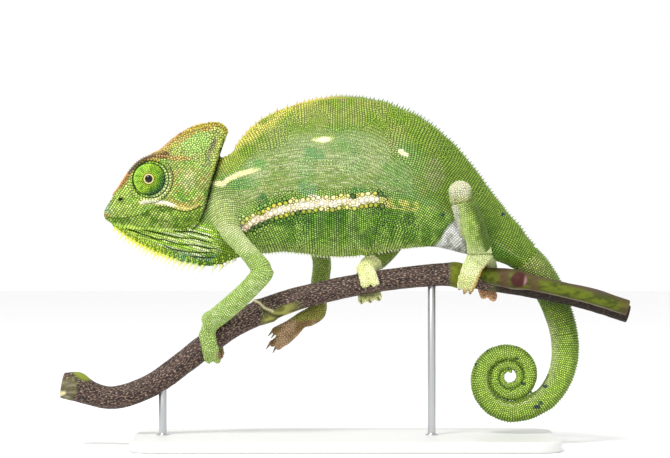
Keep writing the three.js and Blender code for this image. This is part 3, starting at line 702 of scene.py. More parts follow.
def trunk_colour(p, owner, grain):
    """Trunk and neck, with the measures that the skin between the scales needs too."""
    x, _, z = p.T
    broad, middling, fine, edge = grain
    share = height_share(p)
    out = painted(
        "6c953a",
        ("90b354", ramp(noise(p, (3.2, 9, 9), 5), 0.35, 0.65)),
        ("4f7a2c", 0.75 * ramp(noise(p, (5, 9, 8), 6), 0.55, 0.8) * ramp(share, 0.12, 0.2)),
        ("a9b86a", 0.5 * fade(share, 0.02, 0.1)),
    )
    upper = painted("8da45c", ("7aa45a", ramp(broad, 0.5, 0.75)), ("a3ab66", ramp(middling, 0.6, 0.85) * 0.7))
    out = mix(out, upper, ramp(share + 0.05 * (middling - 0.5), 0.36, 0.41))
    pale = flank(p, owner)
    out = mix(out, "a5b680", 0.6 * pale * ramp(broad, 0.15, 0.5) * ramp(share, 0.48, 0.62))
    drawn = ramp(noise(p, (3.4, 3, 1.2), 23), 0.35, 0.6) * fade(share + 0.2 * (broad - 0.5), 0.62, 0.76)
    out = mix(out, "d6dba8", 0.75 * (pale > 0.3) * (np.abs(from_flank_line(p)) < LINE_HALF) * drawn)
    top = mix("82a03b", "95a652", ramp(middling, 0.3, 0.7))
    out = painted(
        out,
        (top, ramp(share, 0.72, 0.86)),
        ("76923a", ramp(x, 24, 46) * ramp(share, 0.35, 0.5)),
        (
            "cdc962",
            0.9 * ramp(share + 0.06 * (middling - 0.5), 0.9, 0.98) * ramp(-x, 4, 26)
            * ramp(middling, 0.15, 0.5),
        ),
        ("bd9a5c", 0.7 * ramp(share, 0.93, 1.0) * ramp(fine, 0.62, 0.8) * ramp(-x, -24, 0)),
    )
    patchy = 0.5 + 0.5 * ramp(noise(p, 2.0, 53), 0.35, 0.6)
    for cx, cz, wide, high, shade, amount in [
        (-14, 131.2, 5.4, 3.6, "76a465", 0.9), (-2, 134.6, 6, 2.8, "7fa75a", 0.7),
        (-17, 115.4, 4.6, 3.4, "7da774", 0.8), (-36.7, 109.2, 2.6, 4.6, "568146", 0.9),
        (-47, 117.6, 8.6, 2.6, "6fa257", 0.9), (-38, 126.5, 3.6, 2.6, "73a653", 0.9),
        (-50, 127, 6, 5, "a3b450", 0.7), (6.5, 114.2, 3.6, 2.6, "5d9350", 0.9),
        (14.5, 113.6, 3, 2.2, "5d9350", 0.8), (22, 118, 9, 8, "76a05c", 0.5), (26, 126, 9, 6, "77a04f", 0.6),
        (-57, 109, 4.5, 6, "a9ba72", 0.7), (-53.5, 104, 5.2, 7.5, "b9c784", 0.7),
        (40, 122, 4.6, 7.6, "9aa071", 0.6), (58, 97, 11, 12, "587a2b", 0.7), (14, 100, 16, 9, "5a7f2e", 0.5),
        (-6, 97, 13, 6, "54782c", 0.5),
    ]:
        out = mix(out, shade, amount * patchy * blob(p, cx, cz, wide, high))
    stripe = from_line(p, STRIPE) + 1.6 * edge
    plates = noise(p, 3.6, 11)
    out = mix(
        out, "2f4a22", 0.8 * fade(stripe, 2.6, 3.6) * ramp(np.abs(plates - 0.5), 0.0, 0.04) * (plates < 0.42)
    )
    above = z > np.interp(x, *np.array(STRIPE).T)
    middle_part = ramp(x, -36, -28) * fade(x, 6, 12)
    out = painted(
        out,
        ("8f9a3a", fade(stripe, 2.6, 3.4) * ramp(plates, 0.36, 0.46)),
        ("b9b548", fade(stripe, 2.6, 3.4) * ramp(plates, 0.5, 0.56) * (above + 0.45 * ~above)),
        ("dfdb9a", fade(stripe, 2.6, 3.2) * ramp(plates, 0.6 - 0.08 * middle_part, 0.66) * above),
        ("cdc878", fade(stripe, 2.4, 3.0) * ramp(plates, 0.58, 0.64) * ~above * bell(x + 4, 7)),
    )
    core = fade(stripe, 1.3 + 0.35 * middle_part, 1.75) * (1 - 0.6 * ramp(x, 12, 17))
    out = painted(
        out,
        ("ecdfb8", core),
        ("f6efd4", 0.7 * core * ramp(plates, 0.35, 0.6)),
        ("dcbfa8", 0.5 * core * fade(x, -42, -26)),
        ("c9ca6c", 0.95 * fade(from_line(p, STRIPE_END) + 2 * edge, 1.6, 2.6) * ramp(fine, 0.2, 0.6)),
    )
    for cx, cz, wide, high, shade in [
        (-23, 110.6, 2.0, 1.2, "e0dc8c"), (-14.4, 111.9, 2.8, 1.3, "f0ebc4"),
        (-2.2, 111.6, 2.4, 1.2, "dcd67e"), (6.6, 112.8, 2.2, 1.2, "d3cd74"),
        (-9.4, 106.9, 2.2, 1.1, "e6e0a4"), (0.6, 107.3, 2.0, 1.0, "c9c672"),
    ]:
        out = mix(out, shade, 0.9 * blob(p, cx, cz, wide, high) * ramp(fine, 0.1, 0.4))
    dash = fade(from_line(p, DASH) + 1.0 * edge, 0.9 - 0.3 * ramp(x, -50, -42), 1.5) - 0.4 * ramp(x, -45, -38)
    out = mix(out, "ece7aa", dash)
    spots = blob(p, -9.7, 137.6, 4.8, 1.3, 3) + blob(p, 26, 131.6, 2.8, 1.2, -28)
    out = painted(
        out, ("bccd5a", 0.35 * blob(p, -9.7, 137.8, 6.2, 2.2, 3)), ("f8f7c6", spots),
        ("8d8590", 0.85 * blob(p, -47.4, 99.4, 1.7, 2.8, 30)),
    )
    inward = (x - 40.5) * 0.82 - (z - 90.5) * 0.57 + 0.8 * (middling - 0.5)
    groin = ramp(inward, -0.5, 0.7) * (x < 58) * fade(z, 101, 103.5)
    # a dark line along the fold at the groin's edge: painted shade in the crease
    out = painted(
        out,
        ("42521c", 0.7 * bell(inward + 0.7, 0.5) * (x < 50) * (z < 103)),
        (mix("a3a39c", "dcdcd8", ramp(noise(p, (1.8, 4, 5), 25), 0.45, 0.65)), groin),
        ("6c7a58", 0.6 * groin * fade(z - 0.3 * (x - 50), 85, 90) * ramp(fine, 0.3, 0.6)),
    )
    return out, pale, stripe, plates, groin, core + 0.7 * dash + spots


def tail_colour(p, on_tail, grain):
    x, _, z = p.T
    middling = grain[1]
    tail = painted(
        "90a84a", ("76923a", ramp(noise(p, (7, 30, 7), 12), 0.45, 0.7)),
        ("9cb656", 0.8 * ramp(middling, 0.5, 0.75)), ("9fbe52", fade(z, 36, 56)), ("a3b364", ramp(z, 66, 82)),
    )
    tail_turn = np.zeros(len(p))
    tail_turn[on_tail] = along_line(p[on_tail], TAIL)[1]
    # paler along the underside and darker along the back: partly the tail's own colour, partly a painted
    # highlight and painted shade
    belly = ramp(np.abs(tail_turn), 1.9, 2.5) * ramp(from_coil_middle(p), 8, 13)
    tail = painted(
        tail, ("bcc68c", 0.55 * belly * fade(z, 52, 62)), ("58742a", 0.6 * fade(np.abs(tail_turn), 0.6, 1.35))
    )
    # darker where the coil's turns lie against each other: painted shade in the gaps between the turns
    crease = (
        ramp(np.abs(tail_turn), 2.5, 2.9) * (z < 48) * (x < 92)
        + fade(np.abs(tail_turn), 0.2, 0.55) * fade(from_coil_middle(p), 11, 12.5)
    )
    # a darker band across the tail just below the branch: painted shadow of the branch
    tail = painted(
        tail, ("34481a", 0.75 * crease * (z < 50)), ("465e1e", 0.8 * bell(z - 65 + 0.3 * (x - 92), 5.5))
    )
    return tail


def limb_colours(p, near_leg, grain):
    """The arms' colour and the legs', painted darker on the far side as shade. The left leg has its own
    markings, and painted light and shade on its shin and knee.
    """
    x, y, z = p.T
    broad, middling, _, _ = grain
    arm = painted(
        "9db866", ("b7cd88", ramp(noise(p, (2, 2, 1.2), 13), 0.4, 0.7)), ("bfcd90", ramp(z, 84, 92)),
        ("a9b96c", ramp(z + 1.5 * (middling - 0.5), 97, 103)), ("98b25c", 0.6 * ramp(broad, 0.5, 0.8)),
    )
    leg = mix("88a24a", "a5bb68", ramp(noise(p, (2, 2, 1.3), 14), 0.4, 0.75))
    shin_front = np.interp(z, [84, 91, 101.7, 106.2, 109], [53, 53.2, 51.2, 50.6, 49])
    shin_rear = np.interp(z, [84, 91.1, 101.7, 106.2, 112], [66, 63.9, 60.8, 58.8, 57])
    # on the left leg: a paler lit front and a dark band down the rear of the shin, painted light and painted
    # shade; the knee greener and darker below and on its rear side, and dark lines in the creases under the
    # knee and at the ankle, painted shade
    leg = painted(
        leg,
        ("bacd80", 0.7 * near_leg * fade(x - shin_front, 1.2, 3.5)),
        ("4f6a2a", 0.85 * near_leg * ramp(x - shin_rear, -4.4, -1.6) * ramp(z, 84, 88)),
        ("c6c8b0", near_leg * fade(x - shin_front, -0.9, 0.0) * ramp(z, 89, 93)),
        (mix("cbcba8", "bcc47c", ramp(112.5 - z + 2 * middling, 0, 3)), near_leg * ramp(z, 108.2, 110)),
        ("a9b07c", 0.6 * near_leg * ramp(z, 108.5, 109.5) * fade(z, 110.4, 113)),
        ("66803a", near_leg * ramp(z, 105, 109) * ramp(x + 0.3 * (112 - z), 52.6, 56.2)),
        ("7d8444", 0.8 * near_leg * bell(over_knee_crease(p), 0.5)),
        ("d4e0a0", 0.7 * near_leg * fade(z, 86, 93) * fade(x - shin_rear, -4.4, -2)),
        ("56662a", 0.8 * near_leg * bell(z - ANKLE_CREASE, 0.45)),
    )
    # the limbs' far side is darker: painted shade of the side away from the light
    shaded_far_side = ramp(y, 2, 8)
    arm, leg = mix(arm, "8f9d4a", 0.6 * shaded_far_side), mix(leg, "8a9a44", 0.6 * shaded_far_side)
    return arm, leg


def foot_colour(p, of, grain):
    x, y, z = p.T
    _, middling, fine, _ = grain
    foot = mix("dfe59c", "f0f2b8", ramp(middling, 0.4, 0.8))
    foot = np.where(
        of("forefoot_left")[:, None],
        painted(foot, ("91ae5a", np.full(len(p), 0.88)), ("abc476", ramp(fine, 0.5, 0.8))),
        foot,
    )
    foot = np.where(of("forefoot_right")[:, None], mix("ac9070", "80683f", ramp(middling, 0.35, 0.7)), foot)
    foot = mix(foot, "8c8b46", of("forefoot_right") * ramp(z - 0.06 * x + 2 * (middling - 0.5), 57, 58.6))
    gap_edge = np.interp(z, [69, 73, 76, 79.6, 82, 85], [57.4, 59.2, 60.5, 62.4, 64.6, 66])
    pads = (
        ramp(x - gap_edge, -2.2, -1.0) * (y < -2) * fade(z, 82, 84)
        + fade(z, 78.5, 80) * ramp(x, 62, 64) * (y > -2)
    )
    hind = painted(
        0.92 * foot,
        ("dae6a4", ramp(z, 76, 84)),
        ("c0904a", 0.85 * pads),
        ("b08f5c", 0.8 * fade(z + 0.8 * (middling - 0.5), 69.8, 72)),
        (mix("c79c78", "d6b468", ramp(middling, 0.4, 0.7)), (y > -1) * fade(z, 71, 74)),
    )
    foot = np.where(of("hindfoot_left")[:, None], hind, foot)
    # a brown spot on the left forefoot, and a dark line in the left ankle's crease, painted shade
    foot = painted(
        foot,
        ("8f7458", 0.9 * of("forefoot_left") * blob(p, -55.6, 41.6, 2, 2.4)),
        ("56662a", 0.8 * of("hindfoot_left") * bell(z - ANKLE_CREASE, 0.45)),
    )
    return foot


def head_colour(p, of, grain):
    """The head without its eyes, and how white the lip is."""
    x, y, z = p.T
    _, middling, fine, edge = grain
    face = painted(
        "a4b95e",
        ("8fb64e", ramp(middling, 0.4, 0.7)),
        ("b5b47e", 0.5 * ramp(noise(p, 4, 15), 0.5, 0.7) * ramp(x, -84, -74) * ramp(z, 109, 114)),
        ("79a84c", 0.8 * ramp(noise(p, 3.4, 16), 0.58, 0.72) * ramp(x, -84, -76)),
        ("b5bf68", 0.6 * ramp(z, 128, 132)),
        ("a3bd55", 0.8 * fade(x, -94, -88) * ramp(fine, 0.2, 0.6)),
        ("64862f", 0.45 * ramp(noise(p, 1.3, 26), 0.55, 0.72)),
        ("cfd98a", (0.5 - 0.3 * ramp(z, 126, 130)) * ramp(noise(p, 1.2, 27), 0.62, 0.76)),
        ("a8cd6c", 0.75 * blob(p, -66.5, 136, 7.5, 5.4, 20)),
        (
            "c79a62",
            0.45 * ramp(noise(p, 1.5, 28), 0.6, 0.74) * ramp(x, -84, -76) * ramp(z, 106, 110)
            * fade(z, 122, 128),
        ),
        ("7d9682", 0.55 * fade(x + 0.35 * (z - 106), -107, -102) * ramp(z, 103, 106)),
        ("a5763c", 0.6 * blob(p, -107, 103.8, 1.5, 1.2)),
        ("c29a5e", 0.7 * blob(p, -75.5, 129.4, 7, 1.2, -4)),
        ("c9be94", 0.35 * blob(p, -70, 119, 4, 5)),
    )
    crown = from_line(p, CROWN)
    face = painted(
        face,
        ("c79a50", 0.85 * bell(crown - 3.4, 0.8) * ramp(fine, 0.25, 0.6) * fade(x, -62, -54)),
        ("bcae42", fade(crown, 1.8, 3.0)),
        ("c4a87c", 0.6 * fade(crown, 1.0, 2.6) * fade(x, -74, -66)),
        ("9aa548", 0.6 * fade(crown, 1.2, 2.4) * ramp(x, -62, -54)),
        ("c08a4a", 0.7 * fade(crown, 0.9, 2.2) * ramp(fine, 0.5, 0.8) * fade(x, -74, -60)),
    )
    ridge = 0.25 + 0.75 * ramp(np.abs(y), 3.4, 5.2)
    face = painted(
        face,
        ("6d5538", 0.95 * ridge * fade(from_line(p, BROW), 1.4, 2.4)),
        ("b08e54", 0.75 * ridge * fade(from_line(p, BROW), 1.4, 3.0) * fade(x, -98, -93)),
        ("9c9a6c", 0.8 * bell(from_line(p, PIT), 1.5)),
        ("6e6c4c", 0.8 * bell(from_line(p, [(-58.3, 137.3), (-60.2, 133.4)]), 0.8)),
        (
            "c9cf63",
            0.9 * bell(from_line(p, HEAD_EDGE) - 1.2, 0.5) * ramp(z, 116, 128) * (behind(p, HEAD_EDGE) < 0),
        ),
    )
    lip = from_line(p, LIP) + 0.5 * edge
    face = painted(
        face, ("cdc862", 0.6 * fade(lip, 1.0, 2.0) * ramp(x, -96, -88)),
        ("d8b468", 0.5 * blob(p, -71.6, 108.5, 3.2, 1.1, -12)),
    )
    whiteness = fade(lip, 0.3, 0.8 + 0.6 * bell(x + 84, 8)) * ramp(x, -92.5, -90.5)
    face = painted(face, ("d3c67a", whiteness), ("f4efd8", whiteness * fade(x, -78, -74)))
    jaw = painted(
        "8fae48", ("668a2c", ramp(noise(p, (2.0, 5, 2.0), 17), 0.4, 0.6)),
        ("b9c873", 0.6 * ramp(fine, 0.5, 0.75) * fade(x, -82, -70)),
        ("5b7c26", 0.5 * ramp(noise(p, 1.3, 26), 0.55, 0.72)),
    )
    face = np.where(of("lower_jaw")[:, None], jaw, face)
    return face, whiteness


def eyes_painted(face, p):
    """The face with the lids, the rings round them, the mouth and the nostrils over it."""
    x, y, _ = p.T
    radius, turn = from_eye(p)
    lids = painted(
        "a8d03e",
        ("86b330", ramp(noise(np.stack([turn * 3.2, radius * 0.5, 0 * turn], 1), 1, 18), 0.4, 0.7)),
        ("9aa82a", 0.7 * fade(radius, 2.6, 3.6)),
        ("a8dc52", 0.8 * ramp(radius, 3.6, 6.2) * ramp(np.cos(turn - 2.8), 0.1, 0.9)),
        ("4b7f2a", 0.85 * ramp(np.cos(turn + 0.55), 0.0, 0.85) * ramp(radius, 2.8, 5.6)),
        ("b4b83c", fade(radius, 2.3, 2.7)),
    )
    spoke = 0.5 + 0.5 * np.cos(9 * turn + 1.2 * np.sin(2 * turn))
    lids = mix(
        lids, "3f6f22", 0.55 * ramp(spoke, 0.75, 0.95) * ramp(radius, 2.8, 4.0) * fade(radius, 5.6, 6.6)
    )
    outer = np.abs(y) > 4.5
    second = from_lid_ring(p)
    lower = ramp(np.cos(turn + 0.75), 0.1, 0.85)
    face = np.where((outer & (radius < 8))[:, None], lids, face)
    # the nostrils are painted nearly black: painted shade in their openings
    face = painted(
        face,
        ("38583c", 0.9 * bell(radius - 6.5, 0.8) * lower * outer),
        ("2f4a1c", 0.9 * bell(radius - INNER_GROOVE, 0.3) * outer),
        ("9fae84", 0.8 * bell(radius - 7.8, 0.35) * ramp(np.cos(turn + 0.5), -0.1, 0.6) * outer),
        ("2f4a1c", 0.85 * bell(second - LID_GROOVE, 0.32) * outer),
        ("c2ca8a", 0.7 * bell(radius - 9.5, 0.9) * lower * outer),
        ("5d7428", 0.8 * bell(radius - OUTER_GROOVE, 0.38) * ramp(np.cos(turn + 0.5), 0.1, 0.7) * outer),
        ("5d6e2c", (0.25 + 0.35 * ramp(x, -92, -84)) * bell(from_line(p, MOUTH), 0.4)),
        ("0e0c08", 1.2 * bell(from_nostril(p), 0.8)),
    )
    return face


def throat_colour(p, grain):
    x, y, z = p.T
    _, middling, fine, _ = grain
    streak = noise(np.stack([x, y, z + 0.2 * x], 1), (6, 6, 0.8), 19)
    throat = painted(
        "98c444",
        ("c4e366", ramp(streak, 0.35, 0.6)),
        ("dcecb6", 0.75 * ramp(streak, 0.6, 0.74) * ramp(x, -90, -80)),
    )
    low = fade(
        z - np.interp(x, [-105, -92, -83, -68, -50], [99.5, 94, 90, 85.8, 87]) + 0.8 * (middling - 0.5),
        -0.9,
        1.0,
    )
    # the lower throat's rows of beads, with a bluish painted sheen on them
    beads = painted(
        "5e8a28",
        ("a0c452", 0.8 * ramp(fine, 0.5, 0.75)),
        ("86b8a4", 0.55 * blob(p, -66, 85.4, 11, 3.4) * ramp(noise(p, 1.2, 29), 0.4, 0.6)),
        ("a9bc40", 0.6 * fade(x, -84, -76)),
    )
    throat = painted(throat, (beads, low), ("7c9c34", ramp(x, -60, -54)))
    # in each fold a dark line, painted shade in its groove, with pale edges beside it, a painted highlight on
    # the ridges
    for line in FOLDS:
        fold = from_line(p, line)
        shown = ramp(x, line[0][0] - 0.6, line[0][0] + 4) * fade(x, line[-1][0] - 4, line[-1][0] + 0.6)
        throat = painted(
            throat,
            ("e2efc8", 0.6 * shown * bell(fold - 0.8, 0.35) * ramp(x, -88, -76) * ramp(streak, 0.35, 0.6)),
            ("122a08", 0.97 * bell(fold, 0.42) * (0.25 + 0.75 * shown)),
        )
    return throat


def markings(p, owner, between=False):
    """The colour of the scales at each point, or of the skin between them with painted shade in the gaps.
    Painted light and shade lie among the markings.
    """
    of = lambda *starts: belongs(label[owner], *starts)
    x, _, z = p.T
    grain = grain_of(p)
    out, pale, stripe, plates, groin, pale_marks = trunk_colour(p, owner, grain)
    on_tail = of("tail")
    out = np.where(on_tail[:, None], tail_colour(p, on_tail, grain), out)
    arm, leg = limb_colours(p, of("thigh_left", "shin_left"), grain)
    out = np.where(of("upper_arm", "forearm")[:, None], arm, out)
    # pale rings over the shoulder
    ripple = 0.5 + 0.5 * np.sin(2 * math.pi * (from_shoulder(p) + 0.6 * (noise(p, 3, 24) - 0.5)) / 1.9)
    near_shoulder = of("neck", "trunk", "upper_arm") * ramp(from_shoulder(p), 4, 8)
    near_shoulder = (
        near_shoulder * fade(np.hypot(x + 52, z - 95), 16, 22) * ramp(z, 98, 101) * fade(x, -46, -40)
    )
    out = painted(
        out, ("d3dca0", 0.45 * near_shoulder * ripple), ("6f8a42", 0.4 * near_shoulder * (1 - ripple))
    )
    out = np.where(of("thigh", "shin")[:, None], leg, out)
    out = np.where(of("forefoot", "hindfoot")[:, None], foot_colour(p, of, grain), out)
    face, whiteness = head_colour(p, of, grain)
    out = np.where(of("head", "casque", "lower_jaw", "eye")[:, None], eyes_painted(face, p), out)
    # a dark line along the head's rear edge and a darker band on the neck just behind it: painted shadow in
    # the groove under the casque's edge
    from_head_edge = from_line(p, HEAD_EDGE)
    out = painted(
        out,
        ("1f2c10", (0.3 + 0.65 * ramp(z, 105, 115)) * bell(from_head_edge, 0.6) * (z < 134)),
        ("3f5c22", 0.55 * bell(from_head_edge - 1.0, 0.9) * (behind(p, HEAD_EDGE) > 0) * (z < 134)),
    )
    # the throat reaches up under the jaw and back under the neck
    below_jaw = fade(
        z - np.interp(x, [-108, -100, -90, -80, -72, -66], [101.5, 99.8, 98.8, 98.2, 98.0, 98.4]), -0.7, 0.5
    )
    below_neck = fade(z - np.interp(x, [-66, -60, -54, -48, -42], [101, 98.5, 93, 87, 84]), -2.5, 2.5)
    below = np.where(of("lower_jaw", "head"), below_jaw, np.where(of("neck", "trunk"), below_neck, 0))
    out = mix(out, throat_colour(p, grain), np.where(of("throat"), 1, below))
    # small dark specks
    for cx, cz, size in [
        (43.7, 104, 0.9), (71, 104.4, 0.7), (63.9, 42.8, 0.8), (58.5, 36.5, 0.9), (77.4, 39.2, 0.7),
        (80.6, 27.9, 0.9), (90.5, 26.6, 0.8), (86.6, 17.6, 1.3), (88, 19.4, 0.9),
    ]:
        out = mix(out, "2b3550", 0.9 * blob(p, cx, cz, size * 1.3, size))
    # the skin between the scales is darker than the scales: painted shade in the gaps between them, less on
    # the pale marks and in the groin
    if between:
        shade = np.full(len(p), 0.34)
        for tone, chosen in [
            (0.6, of("upper_arm", "forearm", "forefoot")), (0.36, of("head", "casque", "eye")),
            (0.5, of("thigh", "shin")), (0.22, of("trunk") & (height_share(p) < 0.36)), (0.32, of("tail")),
            (0.78, of("hindfoot") | (of("shin_left") & (z > 108))),
        ]:
            shade[chosen] = tone
        shade = shade + (0.72 - shade) * groin
        shade = shade + (0.95 - shade) * np.clip(pale_marks + whiteness * of("head", "lower_jaw"), 0, 1)
        out = mix(
            out,
            "16260e",
            0.6 * ramp(stripe, 1.4, 1.9) * fade(stripe, 4.0, 5.0) * of("trunk") * fade(plates, 0.42, 0.56),
        )
        out = out * (0.8 * shade + 0.22 * pale)[:, None]
    return np.clip(out - 0.012, 0.003, 1)


def add_tint(mesh, colour, cover=None):
    """Stores a colour for each point and, as its alpha, how much of it covers what the material has there."""
    cover = np.ones(len(colour)) if cover is None else cover
    values = np.concatenate([np.clip(colour, 0, 1), cover[:, None]], 1)
    mesh.attributes.new("tint", "FLOAT_COLOR", "POINT").data.foreach_set(
        "color", values.astype(np.float32).ravel()
    )


# ---------- Lie of the scales ----------
skin_normals = normals(skin.data)


def ring_roots(inside, level, turn, gap, row):
    """Roots in even rings where level passes each multiple of row, from the back down both sides."""
    a, b = edges[inside[edges].all(1)].T
    ring_a, ring_b = np.floor(level[a] / row), np.floor(level[b] / row)
    cross = np.abs(ring_a - ring_b) == 1
    a, b = a[cross], b[cross]
    ring = np.maximum(ring_a[cross], ring_b[cross])
    t = ((ring * row - level[a]) / (level[b] - level[a]))[:, None]
    spot = points[a] * (1 - t) + points[b] * t
    facing = skin_normals[a] * (1 - t) + skin_normals[b] * t
    angle = np.where(np.abs(turn[a] - turn[b]) < 1, turn[a] * (1 - t[:, 0]) + turn[b] * t[:, 0], turn[a])
    owner = np.where(t[:, 0] < 0.5, a, b)
    out = [[], [], []]
    order = np.lexsort((angle, ring))
    for run in np.split(order, np.flatnonzero(np.diff(ring[order])) + 1):
        if len(run) < 3:
            continue
        path = spot[run]
        reach = reach_along(path)
        start = np.interp(0, angle[run], reach)
        half = 0.5 * (ring[run[0]] % 2)
        spots = start + gap * (np.arange(math.ceil(-start / gap), int((reach[-1] - start) / gap) + 1) + half)
        spots = spots[(spots >= 0) & (spots <= reach[-1])]
        after = np.clip(np.searchsorted(reach, spots), 1, len(run) - 1)
        unbroken = reach[after] - reach[after - 1] < 1.6
        spots, after = spots[unbroken], after[unbroken]
        share = ((spots - reach[after - 1]) / np.maximum(reach[after] - reach[after - 1], 1e-6))[:, None]
        out[0].append(path[after - 1] * (1 - share) + path[after] * share)
        out[1].append(facing[run][after - 1] * (1 - share) + facing[run][after] * share)
        out[2].append(owner[run][after])
    return [np.concatenate(column) for column in out]


def loose_roots(count):
    """Roots strewn evenly over the whole skin."""
    mesh = skin.data
    mesh.calc_loop_triangles()
    corner = np.empty(len(mesh.loop_triangles) * 3, np.int32)
    mesh.loop_triangles.foreach_get("vertices", corner)
    corner = corner.reshape(-1, 3)
    a, b, c = points[corner].transpose(1, 0, 2)
    area = np.linalg.norm(np.cross(b - a, c - a), axis=1)
    pick = corner[random.choice(len(corner), count, p=area / area.sum())]
    u, v = random.random((2, count, 1))
    u, v = np.where(u + v > 1, 1 - u, u), np.where(u + v > 1, 1 - v, v)
    blend = lambda values: values[pick[:, 0]] * (1 - u - v) + values[pick[:, 1]] * u + values[pick[:, 2]] * v
    return [blend(points), blend(skin_normals), pick[:, 0]]


def keep_apart(spots, reach):
    """Numbers of the spots that keep clear of every spot kept before. One with no reach is left out."""
    size = reach.max()
    cells, kept = {}, []
    for number, (cell, spot, far) in enumerate(
        zip(np.floor(spots / size).astype(int).tolist(), spots.tolist(), reach.tolist())
    ):
        i, j, k = cell
        x, y, z = spot
        if far == 0:
            continue
        free = True
        for key in [(i + a, j + b, k + c) for a in (0, -1, 1) for b in (0, -1, 1) for c in (0, -1, 1)]:
            for u, v, w, r in cells.get(key, ()):
                if (x - u) ** 2 + (y - v) ** 2 + (z - w) ** 2 < (far + r) ** 2 / 4:
                    free = False
                    break
            if not free:
                break
        if free:
            cells.setdefault((i, j, k), []).append((x, y, z, far))
            kept.append(number)
    return np.array(kept)


BODY_LINE = smooth_line(SPINE_LINE)
LIMBS = {
    ("upper_arm_left", "forearm_left"): [
        (-56, -4, 108), (-52, -11, 97.6), (-44.5, -15.6, 89), (-36.6, -18.4, 79.4), (-42.4, -17.6, 71.4),
        (-50.6, -14.6, 63.8), (-58, -9, 57.8),
    ],
    ("upper_arm_right", "forearm_right"): [
        (-54, 4, 106), (-42, 13, 99), (-28, 17.6, 94.6), (-14, 18.8, 91.6), (-10.6, 17, 84),
        (-11, 14.4, 75.4), (-12.2, 11, 65),
    ],
    ("thigh_left", "shin_left"): [
        (59, -3, 95), (55.6, -12, 100.6), (52.4, -18.6, 107.4), (50.8, -21.4, 113.6), (54.8, -20, 106.2),
        (57.8, -16.8, 97.6), (60, -11.2, 89.4),
    ],
    ("thigh_right", "shin_right"): [
        (60, 4, 98), (49, 13, 100.6), (38.6, 18, 102), (30.8, 19.4, 102), (24.6, 16.2, 93.6), (18.8, 11, 87),
        (13.6, 6, 82.6),
    ],
}


SCALE_SIZES = {
    1.08: ("head", "lower_jaw"), 1.06: ("casque",), 0.74: ("eye",), 0.96: ("throat", "neck"),
    0.9: ("upper", "forearm", "thigh", "shin"), 0.82: ("forefoot", "hindfoot"), 1.04: ("tail",),
}


def scale_size(p, owner):
    """How far apart the scales stand at each point."""
    out = np.full(len(p), 1.02)
    for size, starts in SCALE_SIZES.items():
        out[belongs(label[owner], *starts)] = size
    tail = belongs(label[owner], "tail")
    return np.where(tail & (p[:, 2] < 50), np.minimum(out, 0.56 + from_coil_middle(p) * 0.031), out)


skin_tree = BVHTree.FromPolygons(points.tolist(), [tuple(f.vertices) for f in skin.data.polygons])
skin_owners = KDTree(len(points))
for number, spot in enumerate(points.tolist()):
    skin_owners.insert(spot, number)
skin_owners.balance()

# rows of plates along the stripe: how far above it, the gap between plates and their size
PLATE_ROWS = ((0, 2.1, 2.7), (2.6, 2.5, 2.4), (-2.6, 2.6, 2.5), (4.5, 2.0, 1.7), (-4.6, 1.9, 1.6))


def stripe_plates():
    """Roots of the large plates along the stripe on both sides, and their sizes."""
    plates = [[], [], [], []]
    line = smooth_line(STRIPE, 0.1)
    reach = reach_along(line)
    point_at = lambda distance: np.array([np.interp(distance, reach, line[:, k]) for k in (0, 1)])
    for off, gap, size in PLATE_ROWS:
        for distance in np.arange(0.5 + (off < 0) * gap / 2, reach[-1], gap):
            if abs(off) > 4 and distance > 22:
                continue
            place = point_at(distance)
            ahead = point_at(distance + 1) - place
            ahead /= max(np.linalg.norm(ahead), 1e-6)
            place = place + off * np.array([-ahead[1], ahead[0]]) + 0.25 * (random.random(2) - 0.5)
            for side in (-1, 1):
                start, way = Vector((place[0], side * 60, place[1])), Vector((0, -side, 0))
                spot, facing, _, _ = skin_tree.ray_cast(start, way)
                owner = None if spot is None else skin_owners.find(spot)[1]
                if spot is not None and belongs(label[owner], "trunk", "neck"):
                    for column, value in zip(plates, (spot, facing, owner, size)):
                        column.append(value)
    return [np.array(column) for column in plates[:3]], plates[3]


def body_rows(out):
    """Adds the rows of roots on neck and trunk: level on the flank, in rings elsewhere."""
    level_rows = flank(points, np.arange(len(points))) > 0.3
    for side in (-1, 1):
        here = level_rows & (points[:, 1] * side > 0)
        for off in (0, 0.57, -0.57):
            out.append(ring_roots(here, flank_level(points) + off, points[:, 0] / 60, 0.8, LINE_GAP))
    reach = from_shoulder(points)
    around_shoulder = is_part("neck", "trunk", "upper_arm") & (reach < 25) & (reach > 5) & ~level_rows
    around_shoulder &= (points[:, 0] < -38) & (points[:, 2] > 95)
    turn = np.arctan2(points[:, 2] - SHOULDER[1], points[:, 0] - SHOULDER[0]) / 4
    for side in (-1, 1):
        out.append(ring_roots(around_shoulder & (points[:, 1] * side > 1), reach, turn, 0.8, 0.95))
    region = is_part("trunk", "neck")
    level, turn = rings_round(region, BODY_LINE)
    level[region] += 1.6 * (noise(points[region], 9, 51) - 0.5)
    out.append(ring_roots(region & ~level_rows & ~around_shoulder, level, turn, 0.98, 1.04))


def rings_round(region, line):
    """How far along a line each point of the region lies, and its turn round it."""
    level, turn = np.zeros(len(points)), np.zeros(len(points))
    level[region], turn[region] = along_line(points[region], line)
    return level, turn


def limb_rows(out):
    """Adds the rings of roots round the tail and the limbs."""
    region = is_part("tail")
    level, turn = rings_round(region, TAIL)
    out.append(ring_roots(region & (points[:, 2] > 50), level, turn, 1.0, 1.06))
    out.append(ring_roots(region & (points[:, 2] < 51), level, turn, 0.92, 0.95))
    for names, line in LIMBS.items():
        region = is_part(*names)
        out.append(ring_roots(region, *rings_round(region, smooth_line(line)), 0.86, 0.9))


